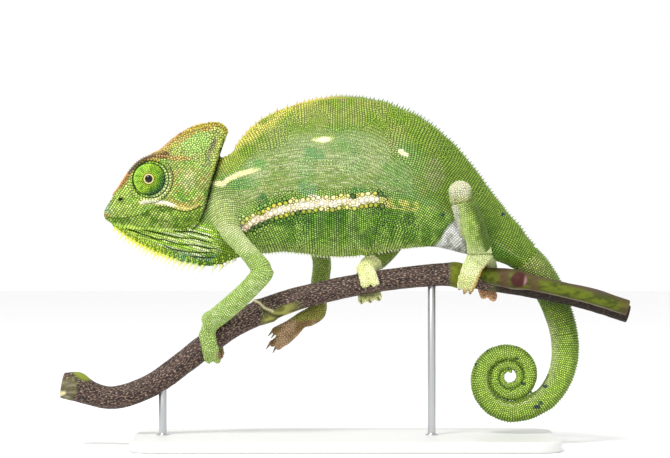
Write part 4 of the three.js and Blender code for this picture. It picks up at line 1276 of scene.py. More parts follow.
def head_rows(out):
    """Adds the slanting rows of roots on face and throat, and the rings round the eyes."""
    x, y, z = points.T
    radius, around = from_eye(points)
    on_face = is_part("head", "lower_jaw") & (z < 128) & (np.abs(y) > 2) & (radius > 10)
    on_throat = is_part("throat") & (np.abs(y) > 1)
    low = z < np.interp(x, [-105, -92, -83, -68, -50], [99.5, 94, 90, 85.2, 86.4])
    slant, across = 0.8 * x - 0.6 * z + 0.6 * noise(points, 8, 41), (0.6 * x + 0.8 * z) / 60
    for side in (-1, 1):
        here = y * side > 0
        out.append(ring_roots(on_face & here, slant, across, 0.98, 1.14))
        out.append(ring_roots(on_throat & here & ~low, z + 0.27 * x, x / 60, 0.92, 1.05))
        out.append(ring_roots(on_throat & here & low, x + 0.2 * z, z / 60, 0.84, 1.0))
    region = is_part("head", "casque", "eye") & (np.abs(y) > 3) & (radius < 11.5) & (radius > 2)
    for side in (-1, 1):
        out.append(ring_roots(region & (y * side > 0), radius, around, 0.72, 0.74))


plates, plate_sizes = stripe_plates()
candidates = [plates]
body_rows(candidates)
limb_rows(candidates)
head_rows(candidates)
candidates.append(loose_roots(260000))
root, root_normal, root_owner = [np.concatenate(column) for column in zip(*candidates)]
spacing = scale_size(root, root_owner)
spacing[: len(plate_sizes)] = plate_sizes
in_rows = flank(root, root_owner) > 0.3
on_line = in_rows & (np.abs(from_flank_line(root)) < LINE_HALF)
spacing[in_rows], spacing[on_line] = 0.9, 0.52
spacing[bare(root, root_owner) < 0.16] = 0
kept = keep_apart(root, spacing * 0.76)
root, root_normal, root_owner, spacing = root[kept], root_normal[kept], root_owner[kept], spacing[kept]
root_normal = unit(root_normal)

# the skin takes the colour of the gaps between the scales, darkened by painted shade
add_tint(skin.data, markings(points, np.arange(len(points)), between=True))

# ---------- Scales ----------
SIDES = 8
SCALES_IN_PIECE = 8200  # at most, which keeps a piece under 200,000 triangles
PATCH = 0.0015  # half the width of a scale's patch in the UV map
COMBED = np.array([0.35, 0, -0.1])  # the way that the scales' tips lean


def triangle_mesh(name, spots, triangles, colour, uv):
    mesh = bpy.data.meshes.new(name)
    mesh.vertices.add(len(spots))
    mesh.vertices.foreach_set("co", (spots * MM).astype(np.float32).ravel())
    mesh.loops.add(triangles.size)
    mesh.loops.foreach_set("vertex_index", triangles.astype(np.int32).ravel())
    mesh.polygons.add(len(triangles))
    mesh.polygons.foreach_set("loop_start", np.arange(0, triangles.size, 3, dtype=np.int32))
    mesh.update(calc_edges=True)
    mesh.polygons.foreach_set("use_smooth", [True] * len(triangles))
    mesh.uv_layers.new(name="OFBake").data.foreach_set("uv", uv[triangles.ravel()].astype(np.float32).ravel())
    add_tint(mesh, colour)
    thing = bpy.data.objects.new(name, mesh)
    bpy.context.scene.collection.objects.link(thing)
    return thing


turns = 2 * math.pi * (np.arange(SIDES) + 0.5) / SIDES
ray = np.stack([np.cos(turns), np.sin(turns)], 1)


def scale_outlines():
    """The way to each corner of each scale, as long as its neighbours and the grooves leave room."""
    tree = KDTree(len(root))
    for number, spot in enumerate(root.tolist()):
        tree.insert(spot, number)
    tree.balance()
    close = np.array([[n for _, n, _ in tree.find_n(spot, 13)][1:] for spot in root.tolist()])
    across = unit(np.cross(root_normal, [0, 1, 0.02]))
    along = np.cross(root_normal, across)
    heading = across[:, None] * ray[None, :, :1] + along[:, None] * ray[None, :, 1:]
    # half way to each neighbour, shared by size
    away = root[close] - root[:, None]
    flat = np.stack([np.einsum("ijk,ik->ij", away, across), np.einsum("ijk,ik->ij", away, along)], 2)
    facing = np.einsum("ijk,ik->ij", root_normal[close], root_normal) > 0.2
    toward = flat @ ray.T / np.maximum(np.linalg.norm(flat, axis=2), 1e-6)[..., None]
    share = spacing[:, None] / (spacing[:, None] + spacing[close])
    limit = (np.linalg.norm(away, axis=2) * share)[..., None] / np.maximum(toward, 0.1)
    reach = np.where((toward > 0.1) & facing[..., None], limit, 9).min(1)
    reach = np.minimum(reach, 0.85 * spacing[:, None]) * 0.94
    # up to the nearest groove
    room = bare(root, root_owner)
    step = 0.04
    to_side = [bare(root + way, root_owner) - room for way in ([step, 0, 0], [0, 0, step])]
    slope = np.stack([to_side[0], 0 * room, to_side[1]], 1) / step
    toward = -np.einsum("ijk,ik->ij", heading, slope)
    reach = np.minimum(reach, np.where(toward > 0.15, room[:, None] / np.maximum(toward, 0.15), 9))
    # up to the flank's pale lines, whose own scales are long and low
    pale = flank(root, root_owner) > 0.3
    off_line = from_flank_line(root)
    on_line = pale & (np.abs(off_line) < LINE_HALF)
    rise = -np.sign(off_line)[:, None] * heading[:, :, 2]
    limit = np.minimum(reach, (np.abs(off_line)[:, None] - 0.2) / np.maximum(rise, 0.15))
    reach = np.where((pale & ~on_line)[:, None] & (rise > 0.15), limit, reach)
    limit = np.minimum(np.maximum(reach, 0.42), 0.17 / np.maximum(np.abs(heading[:, :, 2]), 0.05))
    reach = np.where(on_line[:, None], limit, reach)
    return np.maximum(reach, 0.1)[..., None] * heading


rim = scale_outlines()
here = label[root_owner]
on_head = belongs(here, "head", "casque")
ridges = 0.35 * fade(from_line(root, CROWN), 0.6, 1.8) + 0.3 * fade(from_line(root, BROW), 0.8, 1.8)
height = np.where(on_head, 0.16 * spacing, np.minimum(0.24 * spacing, 0.42))
height += np.where(on_head, ridges, 0)
height *= 0.85 + 0.3 * random.random(len(root))
lean = COMBED - root_normal * (root_normal @ COMBED)[:, None]
lean *= spacing[:, None] * 0.3
base = root[:, None] + rim - 0.16 * root_normal[:, None]
collar = (
    root[:, None] + 0.74 * rim + (0.66 * height)[:, None, None] * root_normal[:, None] + 0.5 * lean[:, None]
)
top = (root + height[:, None] * root_normal + lean)[:, None]
spots = np.concatenate([base, collar, top], 1)
colour = markings(root, root_owner)
vary = np.where(belongs(here, "head", "lower_jaw", "throat"), 0.7, 0.5)
on_tail = belongs(here, "tail")
on_limb = belongs(here, "upper_arm", "forearm", "thigh", "shin", "forefoot")
low_flank = belongs(here, "trunk") * fade(height_share(root), 0.3, 0.38)
low_flank = low_flank * (from_line(root, STRIPE) > 4) * (root[:, 0] < 40)
vary += 0.1 * on_tail + 0.3 * low_flank
sharp = (0.4 * on_tail + 0.6 * low_flank + 0.35 * on_limb)[:, None]
colour *= (1.06 + vary * (random.random(len(root)) - 0.5))[:, None]
colour *= 1 + 0.10 * (random.random((len(root), 3)) - 0.5)
# from rim to top each scale goes from dark to bright: painted shade round its base and a painted highlight on
# its top, sharper on the tail, the lower flank and the limbs
dark = markings(root, root_owner, between=True)
shades = (0.06 * colour + 0.94 * dark, (0.95 - 0.25 * sharp) * colour, (1.45 + 0.5 * sharp) * colour)
colours = [np.repeat(shade[:, None], times, 1) for shade, times in zip(shades, (SIDES, SIDES, 1))]
colours = np.concatenate(colours, 1)
ring = np.arange(SIDES)
after = (ring + 1) % SIDES
low_ring, high_ring = [ring, after, after + SIDES], [ring, after + SIDES, ring + SIDES]
cap = [ring + SIDES, after + SIDES, 0 * ring + 2 * SIDES]
pattern = np.concatenate([np.stack(corners, 1) for corners in (low_ring, high_ring, cap)])
disc = np.concatenate([ray * PATCH, ray * 0.001, [[0, 0]]])
uvs = vertex_uv[root_owner][:, None] + disc[None]
REGIONS = {
    "head": HEAD,
    "throat_and_neck": ("throat", "neck"),
    "trunk": ("trunk",),
    "tail": ("tail_",),
    "limbs": ("upper_arm", "forearm", "thigh", "shin", "forefoot", "hindfoot"),
}
coat = []
for name, starts in REGIONS.items():
    chosen = np.flatnonzero(belongs(here, *starts))
    chosen = chosen[np.argsort(root[chosen, 0])]
    for number, some in enumerate(np.array_split(chosen, math.ceil(len(chosen) / SCALES_IN_PIECE))):
        triangles = (pattern[None] + np.arange(len(some))[:, None, None] * spots.shape[1]).reshape(-1, 3)
        shape = spots[some].reshape(-1, 3), triangles, colours[some].reshape(-1, 3), uvs[some].reshape(-1, 2)
        coat.append(triangle_mesh(f"scales_{name}_{number + 1}", *shape))


# ---------- Crests ----------
def skin_root(start, way):
    """Where a line from start first meets the skin, or None."""
    return skin_tree.ray_cast(Vector(start), Vector(way))[0]


def spikes(name, rows, sides=6, round_tips=False):
    """Thorn-shaped scales. A row has root, direction, length, half sizes along X and across, two colours."""
    shares, widths = np.array([-0.12, 0.2, 0.5, 0.8]), np.array([1.05, 0.85, 0.5, 0.2])
    if round_tips:
        shares, widths = np.array([-0.4, 0.3, 0.65, 0.9]), np.array([1.05, 1.0, 0.8, 0.45])
    turn = 2 * math.pi * np.arange(sides) / sides
    count = len(shares) * sides
    ring = np.arange(count - sides).reshape(-1, sides)
    after = np.roll(ring, -1, 1)
    pattern = [np.stack([ring, after, after + sides], 2), np.stack([ring, after + sides, ring + sides], 2)]
    last = np.arange(count - sides, count)
    pattern.append(np.stack([last, np.roll(last, -1), 0 * last + count], 1)[None])
    pattern = np.concatenate([p.reshape(-1, 3) for p in pattern])
    spots, colours, uvs = [], [], []
    for place, way, length, long, wide, low, high in rows:
        place, way = np.array(place, float), unit(np.array(way, float))
        side = unit(np.cross(way, [0, 1, 0] if abs(way[1]) < 0.9 else [1, 0, 0]))
        other = np.cross(way, side)
        for share, width in zip(shares, widths):
            for angle in turn:
                spots.append(
                    place + way * length * share
                    + width * (side * long * math.cos(angle) + other * wide * math.sin(angle))
                )
                colours.append(low + (high - low) * max(share, 0))
        spots.append(place + way * length)
        colours.append(high)
        here = vertex_uv[skin_owners.find(place)[1]]
        disc = PATCH * np.stack([np.cos(turn), np.sin(turn)], 1)
        uvs += [here + d * w for w in widths for d in disc] + [here]
    triangles = (pattern[None] + np.arange(len(rows))[:, None, None] * (count + 1)).reshape(-1, 3)
    coat.append(triangle_mesh(name, np.array(spots), triangles, np.array(colours), np.array(uvs)))


def shade_of(first, second, share):
    """One colour between two inks."""
    return ink(first) * (1 - share) + ink(second) * share


def line_points(line, gap):
    """Points every gap along a line, with the line's direction."""
    reach = reach_along(line)
    way = np.gradient(line, axis=0)
    at = np.arange(0, reach[-1], gap)
    pick = lambda values: np.stack([np.interp(at, reach, values[:, k]) for k in range(values.shape[1])], 1)
    return zip(at / reach[-1], pick(line), pick(way))


back_rows = []
for _, spot, way in line_points(BODY_LINE, 0.7):
    if spot[0] < -50:
        continue
    up = unit(np.cross(way, [0, 1, 0]))
    root_spot = skin_root(spot + up * 60, -up)
    number = len(back_rows)
    front = fade(spot[0], -14, 10)
    tall = (2.1 if number % 3 == 0 else 1.0) * front + (1.7 if number % 2 == 0 else 0.9) * (1 - front)
    tall += 0.8 * bell(spot[0] + 2, 8) + 0.8 * bell(spot[0] - 24, 8)
    if root_spot is None or (root_spot[0] < -52 and root_spot[2] > 127):
        continue
    low, high = ink("ccc458"), ink("b9a466")
    if number % 8 == 0:
        low, high = ink("b89a58"), ink("dcb48c")
    low = low * front + ink("7b9638") * (1 - front)
    high = high * front + ink("55703a") * (1 - front)
    back_rows.append((root_spot, up + 0.4 * way / np.linalg.norm(way), tall, 0.55, 0.42, low, high))
for share, spot, way in line_points(TAIL, 1.1):
    up = unit(np.cross(way, [0, 1, 0]))
    middle = math.hypot(spot[0] - COIL["x"], spot[2] - COIL["z"])
    start = 10 if share < 0.36 else min(10, middle * 0.33 + 0.4)
    root_spot = skin_root(spot + up * start, -up)
    if root_spot is None or share > 0.93:
        continue
    size = 1 - 0.75 * share
    leaning = up + 0.5 * way / np.linalg.norm(way)
    back_rows.append((root_spot, leaning, size, 0.5 * size, 0.36 * size, ink("7b9638"), ink("4f6a30")))
spikes("crest_back", back_rows)

belly_rows = []
for x in np.arange(-46, 36, 1.45):
    root_spot = skin_root((x, 0, 60), (0, 0, 1))
    if root_spot is not None and root_spot[2] < 104:
        size = 0.6 + 0.4 * ramp(x, -44, -30) - 0.4 * ramp(x, 14, 34)
        belly_rows.append((root_spot, (0.5, 0, -1), 1.5 * size, 0.45, 0.34, ink("c9d49a"), ink("f6f5ea")))
spikes("crest_belly", belly_rows)

throat_rows = []
x = -103.0
while x < -47:
    root_spot = skin_root((x, 0, 60), (0, 0, 1))
    if root_spot is not None:
        size = (0.55 + 0.45 * ramp(x, -106, -96) - 0.25 * ramp(x, -58, -47)) * (0.9 + 0.25 * random.random())
        pale = ramp(x, -84, -66)
        low, high = shade_of("dfe256", "e6ea9c", pale), shade_of("f7f3a4", "f8f3e6", pale)
        way = (-0.42 - 0.15 * random.random(), 0.14 * (random.random() - 0.5), -1)
        throat_rows.append((root_spot, way, 2.8 * size, 1.15, 0.9, low, high))
        throat_rows.append((root_spot, way, 3.9 * size, 0.7, 0.55, low, high * [0.95, 0.9, 0.82]))
        for side in (-1, 1):
            for off, share in ((1.4, 0.5), (2.6, 0.32)):
                aside = skin_root((x + 0.9 * random.random(), side * off, 60), (0, 0, 1))
                if aside is not None:
                    outward, tall = (-0.4, side * 0.35, -1), 2.2 * size * share
                    throat_rows.append((aside, outward, tall, 0.55, 0.5, ink("a3c43a"), ink("e2ea5a")))
    x += 1.65 + 1.2 * ramp(x, -84, -64)
spikes("crest_throat", throat_rows)

BROW_RIDGE = [
    (-104.4, 1.6, 113.2), (-102, 4.2, 115.8), (-97.5, 5.2, 122.4), (-93, 6.1, 127.8), (-88, 6.9, 130.6),
    (-83, 7.3, 130.8), (-79, 7.4, 130.4),
]
head_rows = []
for share, spot, way in line_points(smooth_line([(x, 0, z) for x, z in CROWN]), 1.05):
    for number, side in enumerate((-0.9, 0, 0.9)):
        up = np.cross(way, [0, 1, 0]) / np.linalg.norm(way)
        root_spot = skin_root(spot + up * 12 + [0, side, 0] + way * (0.5 * (number % 2)), -up)
        if root_spot is not None and root_spot[2] > 129:
            yellow = ramp(share, 0.1, 0.5) * random.random()
            low, high = shade_of("8f6a34", "a5983a", yellow), shade_of("bb8c4c", "d2c766", yellow)
            tall = (0.8 if side == 0 else 0.55) * (1 - 0.5 * ramp(share, 0.45, 0.75))
            head_rows.append((root_spot, up + 0.2 * way, tall, 0.5, 0.48, low, high))
for side in (-1, 1):
    for share, spot, way in line_points(smooth_line([(x, side * y, z) for x, y, z in BROW_RIDGE]), 1.2):
        out_way = Vector((-0.45, side * 0.75, 0.55)).normalized()
        root_spot = skin_root(Vector(spot) + 15 * out_way, -out_way)
        if root_spot is None:
            continue
        size = 0.7 + 0.3 * math.sin(math.pi * min(1, share * 1.15))
        tones = ("a5773c", "d29c5c") if share < 0.38 else ("a8804a", "cba468")
        if 0.38 <= share < 0.8:
            tones = ("4f3a28", "8f7a6c")
        way = out_way + Vector((0, 0, 0.3))
        head_rows.append((root_spot, way, 1.35 * size, 0.6 * size, 0.75 * size, *map(ink, tones)))
spikes("crest_head", head_rows, sides=8, round_tips=True)

# ---------- Eyes ----------
def turned(name, profile, centre, axis, segments, colours, closed=False):
    """A surface of revolution about axis. profile has (distance out along the axis, radius) rows."""
    axis = unit(np.array(axis, float))
    side = unit(np.cross(axis, [0, 0, 1] if abs(axis[2]) < 0.9 else [1, 0, 0]))
    other = np.cross(axis, side)
    turn = 2 * math.pi * np.arange(segments) / segments
    circle = side * np.cos(turn)[:, None] + other * np.sin(turn)[:, None]
    spots = np.concatenate([np.array(centre) + axis * out + circle * radius for out, radius in profile])
    rings = len(profile)
    faces = []
    for ring in range(rings if closed else rings - 1):
        faces += ring_faces(segments, ring * segments, (ring + 1) % rings * segments)
    if not closed:
        faces += [tuple(range(segments))[::-1], tuple(range((rings - 1) * segments, rings * segments))]
    thing = make_mesh(name, spots, faces)
    turn_outward(thing)
    add_tint(thing.data, np.repeat(np.array(colours), segments, axis=0))
    return thing


eyes, lids = [], []
for side, word in ((-1, "left"), (1, "right")):
    centre, axis = EYEBALL * [1, side, 1], np.array([0, side, 0])
    angles = np.radians(np.concatenate([[2], np.arange(6, 60, 3), np.arange(60, 178, 8)]))
    profile = [(2.5 * math.cos(a), 2.5 * math.sin(a)) for a in angles]
    pupil, iris = math.radians(35), math.radians(44)
    shades = [ink("060504" if a < pupil else "3a2814" if a < iris else "b89a4a") for a in angles]
    eyes.append(turned(f"eye_{word}", profile, centre, axis, 48, shades))
    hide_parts(f"eyeball_{word}")
    ring = np.radians(np.arange(0, 360, 36))
    profile = [(1.6 + 0.36 * math.cos(a), 1.98 + 0.36 * math.sin(a)) for a in ring]
    shades = [ink("cfc98a" if math.sin(a) < 0.6 else "9fae3c") for a in ring]
    lids.append(turned(f"lid_{word}", profile, centre, axis, 40, shades, closed=True))
for piece in eyes:
    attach(piece, "root")

# ---------- Claws ----------
CLAW_SIDES = 8
CLAW_RADIUS = 0.62


def claw_path(name):
    """The middle line of a claw, from half a millimetre inside the toe to the tip."""
    rough = places(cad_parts[name].data)
    away = rough - rough.mean(0)
    axis = np.linalg.svd(away, full_matrices=False)[2][0]
    reach = away @ axis
    thickness = np.linalg.norm(away - reach[:, None] * axis, axis=1)
    if thickness[reach > 0].mean() > thickness[reach < 0].mean():
        reach = -reach
    ends = np.quantile(reach, [0, 0.5, 1])
    knots = [rough[np.argsort(np.abs(reach - end))[:4]].mean(0) for end in ends]
    knots[0] = knots[0] - 0.5 * (knots[1] - knots[0]) / np.linalg.norm(knots[1] - knots[0])
    path = smooth_line(knots, 0.25)
    if name.startswith("claw_hindfoot_left") and path[0, 1] < -2:
        path = leg_shape(path, np.ones(len(path)))
    return path


claws = [(name, claw_path(name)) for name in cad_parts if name.startswith("claw_")]
spots, faces, colours = [], [], []
for _, path in claws:
    way = np.gradient(path, axis=0)
    for number, share in enumerate(np.linspace(0, 1, len(path))):
        side = unit(np.cross(way[number], [0.3, 0.2, 1]))
        other = np.cross(side, unit(way[number]))
        radius = CLAW_RADIUS * (1 - share) ** 0.7 + 0.04
        if number:
            faces += ring_faces(CLAW_SIDES, len(spots) - CLAW_SIDES, len(spots))
        for i in range(CLAW_SIDES):
            angle = 2 * math.pi * i / CLAW_SIDES
            spots.append(path[number] + radius * (side * 0.8 * math.cos(angle) + other * math.sin(angle)))
            colours.append(shade_of("8d7a5e", "3a2f26", number / len(path)))
    faces.append(tuple(range(len(spots) - CLAW_SIDES, len(spots))))
claw_piece = make_mesh("claws", np.array(spots), faces)
turn_outward(claw_piece)
add_tint(claw_piece.data, np.array(colours))
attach(claw_piece, "root")
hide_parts(*[name for name, _ in claws])

# ---------- Coat ----------
coat += lids
for piece in coat:
    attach(piece, "root")

# ---------- Perch ----------
BRANCH = [
    (-127, 0, 27.4, 5.6), (-121.5, 0, 26.4, 5.9), (-114, 0, 23.6, 5.2), (-105.5, 0, 21.8, 5.0),
    (-96, 0, 23.6, 5.1), (-84, 0, 29.2, 5.2), (-70, 0, 39.6, 5.3), (-52, 0, 53.2, 5.3), (-38.5, 0, 60.2, 5.5),
    (-26.5, 0, 65, 5.1), (-6, 0, 70.2, 5.0), (18, 0, 74.6, 4.9), (43, 0, 77.2, 5.1), (53, 0, 76.6, 5.2),
    (70, -0.6, 73.0, 3.9), (88, -2.2, 69.6, 3.5), (107, -2.6, 65.4, 3.6), (127, -2.6, 59.6, 3.9),
]
SHOOT = [
    (56, -0.6, 77.4, 2.6), (60, -1.6, 77.4, 3.2), (67, -4, 76.4, 3.9), (75, -6.6, 75.2, 4.4),
    (83, -8.6, 73.8, 3.5), (97, -9.6, 70.8, 3.4), (111, -9.8, 67.2, 3.4), (126, -9.6, 62.6, 3.5),
]


def stem(name, rows, sides, shape):
    """A stem along rows of (x, y, z, radius). shape gives how far each point stands out, its colour, and
    how much of that colour covers the bark."""
    line = smooth_line(rows, 0.45)
    radius, line = line[:, 3], line[:, :3]
    way = unit(np.gradient(line, axis=0))
    side = unit(np.cross(np.cross(way, [0, 1, 0]), way))
    up = np.cross(way, side)
    up *= np.sign(up[:, 2:])
    reach = reach_along(line)
    turn = 2 * math.pi * np.arange(sides) / sides
    out = up[:, None] * np.cos(turn)[None, :, None] + side[:, None] * np.sin(turn)[None, :, None]
    spots = line[:, None] + out * radius[:, None, None]
    flat = spots.reshape(-1, 3)
    facing = out.reshape(-1, 3)
    rise, colour, cover = shape(flat, facing)
    flat = flat + facing * rise[:, None]
    rings = len(line)
    ring = np.arange((rings - 1) * sides).reshape(-1, sides)
    quads = np.stack(
        [ring, np.roll(ring, -1, 1), np.roll(ring, -1, 1) + sides, ring + sides], 2
    ).reshape(-1, 4)
    faces, uv = quads.tolist(), np.stack([np.repeat(reach, sides), np.tile(turn, rings) * 5], 1)
    for end, sense in ((0, -1), (rings - 1, 1)):
        previous = list(range(end * sides, end * sides + sides))
        for share, tone in ((0.9, "6f5a44"), (0.82, "b3a27c"), (0.45, "c4b48c"), (0.12, "8b7656")):
            start = len(flat)
            edge = flat[end * sides : end * sides + sides]
            flat = np.concatenate([flat, line[end] + (edge - line[end]) * share + sense * 0.25 * way[end]])
            uv = np.concatenate([uv, uv[previous]])
            colour = np.concatenate([colour, np.tile(ink(tone), (sides, 1))])
            cover = np.concatenate([cover, np.ones(sides)])
            now = list(range(start, start + sides))
            faces += [
                [previous[i], now[i], now[(i + 1) % sides], previous[(i + 1) % sides]] for i in range(sides)
            ]
            previous = now
        faces.append(previous)
    thing = make_mesh(name, flat, faces)
    turn_outward(thing)
    corner = np.empty(len(thing.data.loops), np.int32)
    thing.data.loops.foreach_get("vertex_index", corner)
    thing.data.uv_layers.new(name="along").data.foreach_set("uv", uv[corner].astype(np.float32).ravel())
    add_tint(thing.data, colour, cover)
    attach(thing, "root")
    return thing


def branch_shape(p, facing):
    """The dark stem. Its patches of colour cover the bark by their own shares."""
    x, y, z = p.T
    rise = 0.35 * (noise(p, (9, 5, 5), 31) - 0.5) + 0.16 * (noise(p, (2.6, 1.1, 1.1), 32) - 0.5)
    top = facing[:, 2]
    # the swollen node with its bud and leaf scar near the left end
    swelling = bell(np.hypot((x + 124) / 5.5, (z - 26) / 6), 1)
    rise += 0.5 * swelling
    bud = bell(np.hypot((x + 118.5) / 4.6, y / 4.4), 1) * (top > 0)
    rise += 1.3 * bud
    tan = ramp(swelling + 0.35 * (noise(p, (3, 1.5, 1.5), 38) - 0.5), 0.4, 0.65) * (top < 0.75)
    scar = fade(from_line(p, [(-129, 23.6), (-125.5, 24.6)]) + 0.5 * (x + 127) / 3, 0.6, 1.3)
    rise += 0.5 * scar
    # the node behind the left forefoot, with a torn leaf scar and a green flap under it
    lip = bell(from_line(p, [(-41, 65.2), (-38.2, 64.2), (-36, 62.4), (-32.5, 61.2)]), 0.7)
    rise += 0.5 * bell(x + 0.9 * (z - 64.4) + 39, 2.4) + 0.5 * lip
    # a dark line below the lip: painted shadow under it
    under = bell(from_line(p, [(-37.4, 61.8), (-33, 59.6), (-27, 58.4)]), 0.7)
    flap = (
        ramp(-top + 0.25 * (noise(p, (5, 2, 2), 40) - 0.5), 0.1, 0.4) * ramp(x, -39, -35) * fade(x, -27, -17)
    )
    rise += 0.5 * flap
    # the green node where the shoot leaves
    green = ramp(x, 46, 48.5) * fade(x, 53, 56.5)
    rise += 0.55 * bell(x - 51, 3.4)
    # darker beyond the green node, where the branch runs behind the shoot: painted shade
    shade = ramp(x, 62, 70)
    colour, cover = "6d7a30", np.zeros(len(p))
    for tone, share, hides in [
        (mix("8d8468", "5f5a40", ramp(noise(p, (4, 1, 1), 39), 0.4, 0.6)), tan, 0.85 * tan),
        ("7f8a2c", ramp(bud, 0.3, 0.6), ramp(bud, 0.3, 0.6)),
        ("d9cf9e", scar, scar),
        (mix("66662c", "99994c", ramp(noise(p, (7, 1.6, 1.6), 42), 0.45, 0.62)), flap, 0.9 * flap),
        ("17120c", 0.9 * under, 0.9 * under),
        ("cfc39a", ramp(lip, 0.3, 0.7), ramp(lip, 0.4, 0.8)),
        ("66730a", green, green),
        ("5b4a2a", 0.7 * green * ramp(noise(p, 1.6, 33), 0.5, 0.8), 0),
        ("15110c", shade, 0.75 * shade),
    ]:
        colour, cover = mix(colour, tone, share), np.maximum(cover, hides)
    return rise, colour, cover


def shoot_shape(p, facing):
    """The green side shoot. Its colour covers nearly all of the bark."""
    x, _, z = p.T
    rise = 0.3 * (noise(p, (7, 4, 4), 34) - 0.5) + 0.1 * (noise(p, (2.6, 1.1, 1.1), 35) - 0.5)
    grain = 0.6 * noise(p, (5, 2, 2), 36) + 0.4 * noise(p, (1.4, 0.7, 0.7), 43)
    # the shoot's underside is darker: painted shade
    colour = painted(
        "3c460a",
        ("5f6c12", ramp(grain, 0.35, 0.65)),
        ("4b3a2c", 0.8 * ramp(facing[:, 2] + 0.5 * (grain - 0.5), 0.45, 0.9)),
        ("3b3216", 0.6 * ramp(-facing[:, 2], 0.5, 0.8)),
        ("8d8470", 0.7 * ramp(-facing[:, 2], 0.75, 0.95)),
        ("54382c", 0.85 * bell(x - 71, 2.8) + 0.7 * bell(x - 84, 3) + 0.6 * ramp(x, 119, 126)),
    )
    bud = bell(np.hypot((x - 77.6) / 3.6, (z - 75) / 3.2), 1) * (facing[:, 1] < 0.2)
    rise += 1.0 * bud
    # a dark red bud with a pale pink painted highlight on its right side
    colour = painted(
        colour,
        ("431519", ramp(bud, 0.25, 0.5)),
        ("b48a8c", ramp(bud, 0.3, 0.6) * ramp(x - 0.2 * z, 64.6, 65.6)),
    )
    sheath = bell(np.hypot((x - 112) / 7, (facing[:, 2] - 1) / 0.5), 1)
    rise += 0.5 * sheath
    colour = mix(colour, "4f4038", sheath)
    return rise, colour, np.full(len(p), 0.94)


branch = stem("branch", BRANCH, 60, branch_shape)
shoot = stem("shoot", SHOOT, 44, shoot_shape)
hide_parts("perch_branch")
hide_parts("perch_shoot")

# ---------- Stand ----------
def base_plate():
    """The stand's flat plate, with round corners and soft edges."""
    length, width, corner, thick, bevel = 190, 84, 12, 5, 0.9
    soft = bevel * 0.3
    loops = []
    for inset, z in [
        (bevel, 0), (soft, soft), (0, bevel), (0, thick - bevel), (soft, thick - soft), (bevel, thick)
    ]:
        ring = []
        for cx, cy, start in [(1, 1, 0), (-1, 1, 90), (-1, -1, 180), (1, -1, 270)]:
            for step in range(9):
                angle = math.radians(start + step * 11.25)
                x = cx * (length / 2 - corner) + (corner - inset) * math.cos(angle)
                y = cy * (width / 2 - corner) + (corner - inset) * math.sin(angle)
                ring.append((x, y, z))
        loops.append(ring)
    count = len(loops[0])
    faces = [tuple(range(count))[::-1], tuple(range(5 * count, 6 * count))]
    for number in range(5):
        faces += ring_faces(count, number * count, (number + 1) * count)
    plate = make_mesh("stand_plate", [spot for ring in loops for spot in ring], faces)
    plate.data.polygons.foreach_set("use_smooth", [len(f.vertices) == 4 for f in plate.data.polygons])
    return plate


plate = base_plate()
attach(plate, "root")
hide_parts("stand_base")
rods = []
for name in ("stand_rod_front", "stand_rod_rear"):
    rough = places(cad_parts[name].data)
    x, top = (rough[:, 0].min() + rough[:, 0].max()) / 2, rough[:, 2].max()
    profile = [
        (4.6, 0.6), (4.6, 2.9), (5.3, 2.9), (5.6, 2.6), (5.65, 1.82), (6.2, 1.8), (top - 0.3, 1.8), (top, 1.5)
    ]
    rods.append(
        turned(name.replace("stand_", ""), profile, (x, 0, 0), (0, 0, 1), 48, [ink("b8bbbe")] * len(profile))
    )
    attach(rods[-1], "root")
    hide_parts(name)

# ---------- Materials ----------
def node(nodes, kind, **inputs):
    """A new shader node. An input's name has _ for each space."""
    made = nodes.new(f"ShaderNode{kind}")
    set_inputs(made, **inputs)
    return made


def set_inputs(shader, **inputs):
    for name, value in inputs.items():
        shader.inputs[name.replace("_", " ")].default_value = value


def wire(made, *wires):
    """Links nodes of a material. A wire is a node, its output, the next node and its input."""
    for first, output, second, socket in wires:
        made.node_tree.links.new(first.outputs[output], second.inputs[socket])


def material(name, **inputs):
    """A plain material, its nodes and its main shader."""
    made = bpy.data.materials.new(name)
    made.use_nodes = True
    shader = made.node_tree.nodes["Principled BSDF"]
    set_inputs(shader, **inputs)
    return made, made.node_tree.nodes, shader


def tinted(name, **inputs):
    """A material that takes its colour from the shape's own tint."""
    made, nodes, shader = material(name, **inputs)
    tint = node(nodes, "Attribute")
    tint.attribute_name = "tint"
    wire(made, (tint, "Color", shader, "Base Color"))
    return made


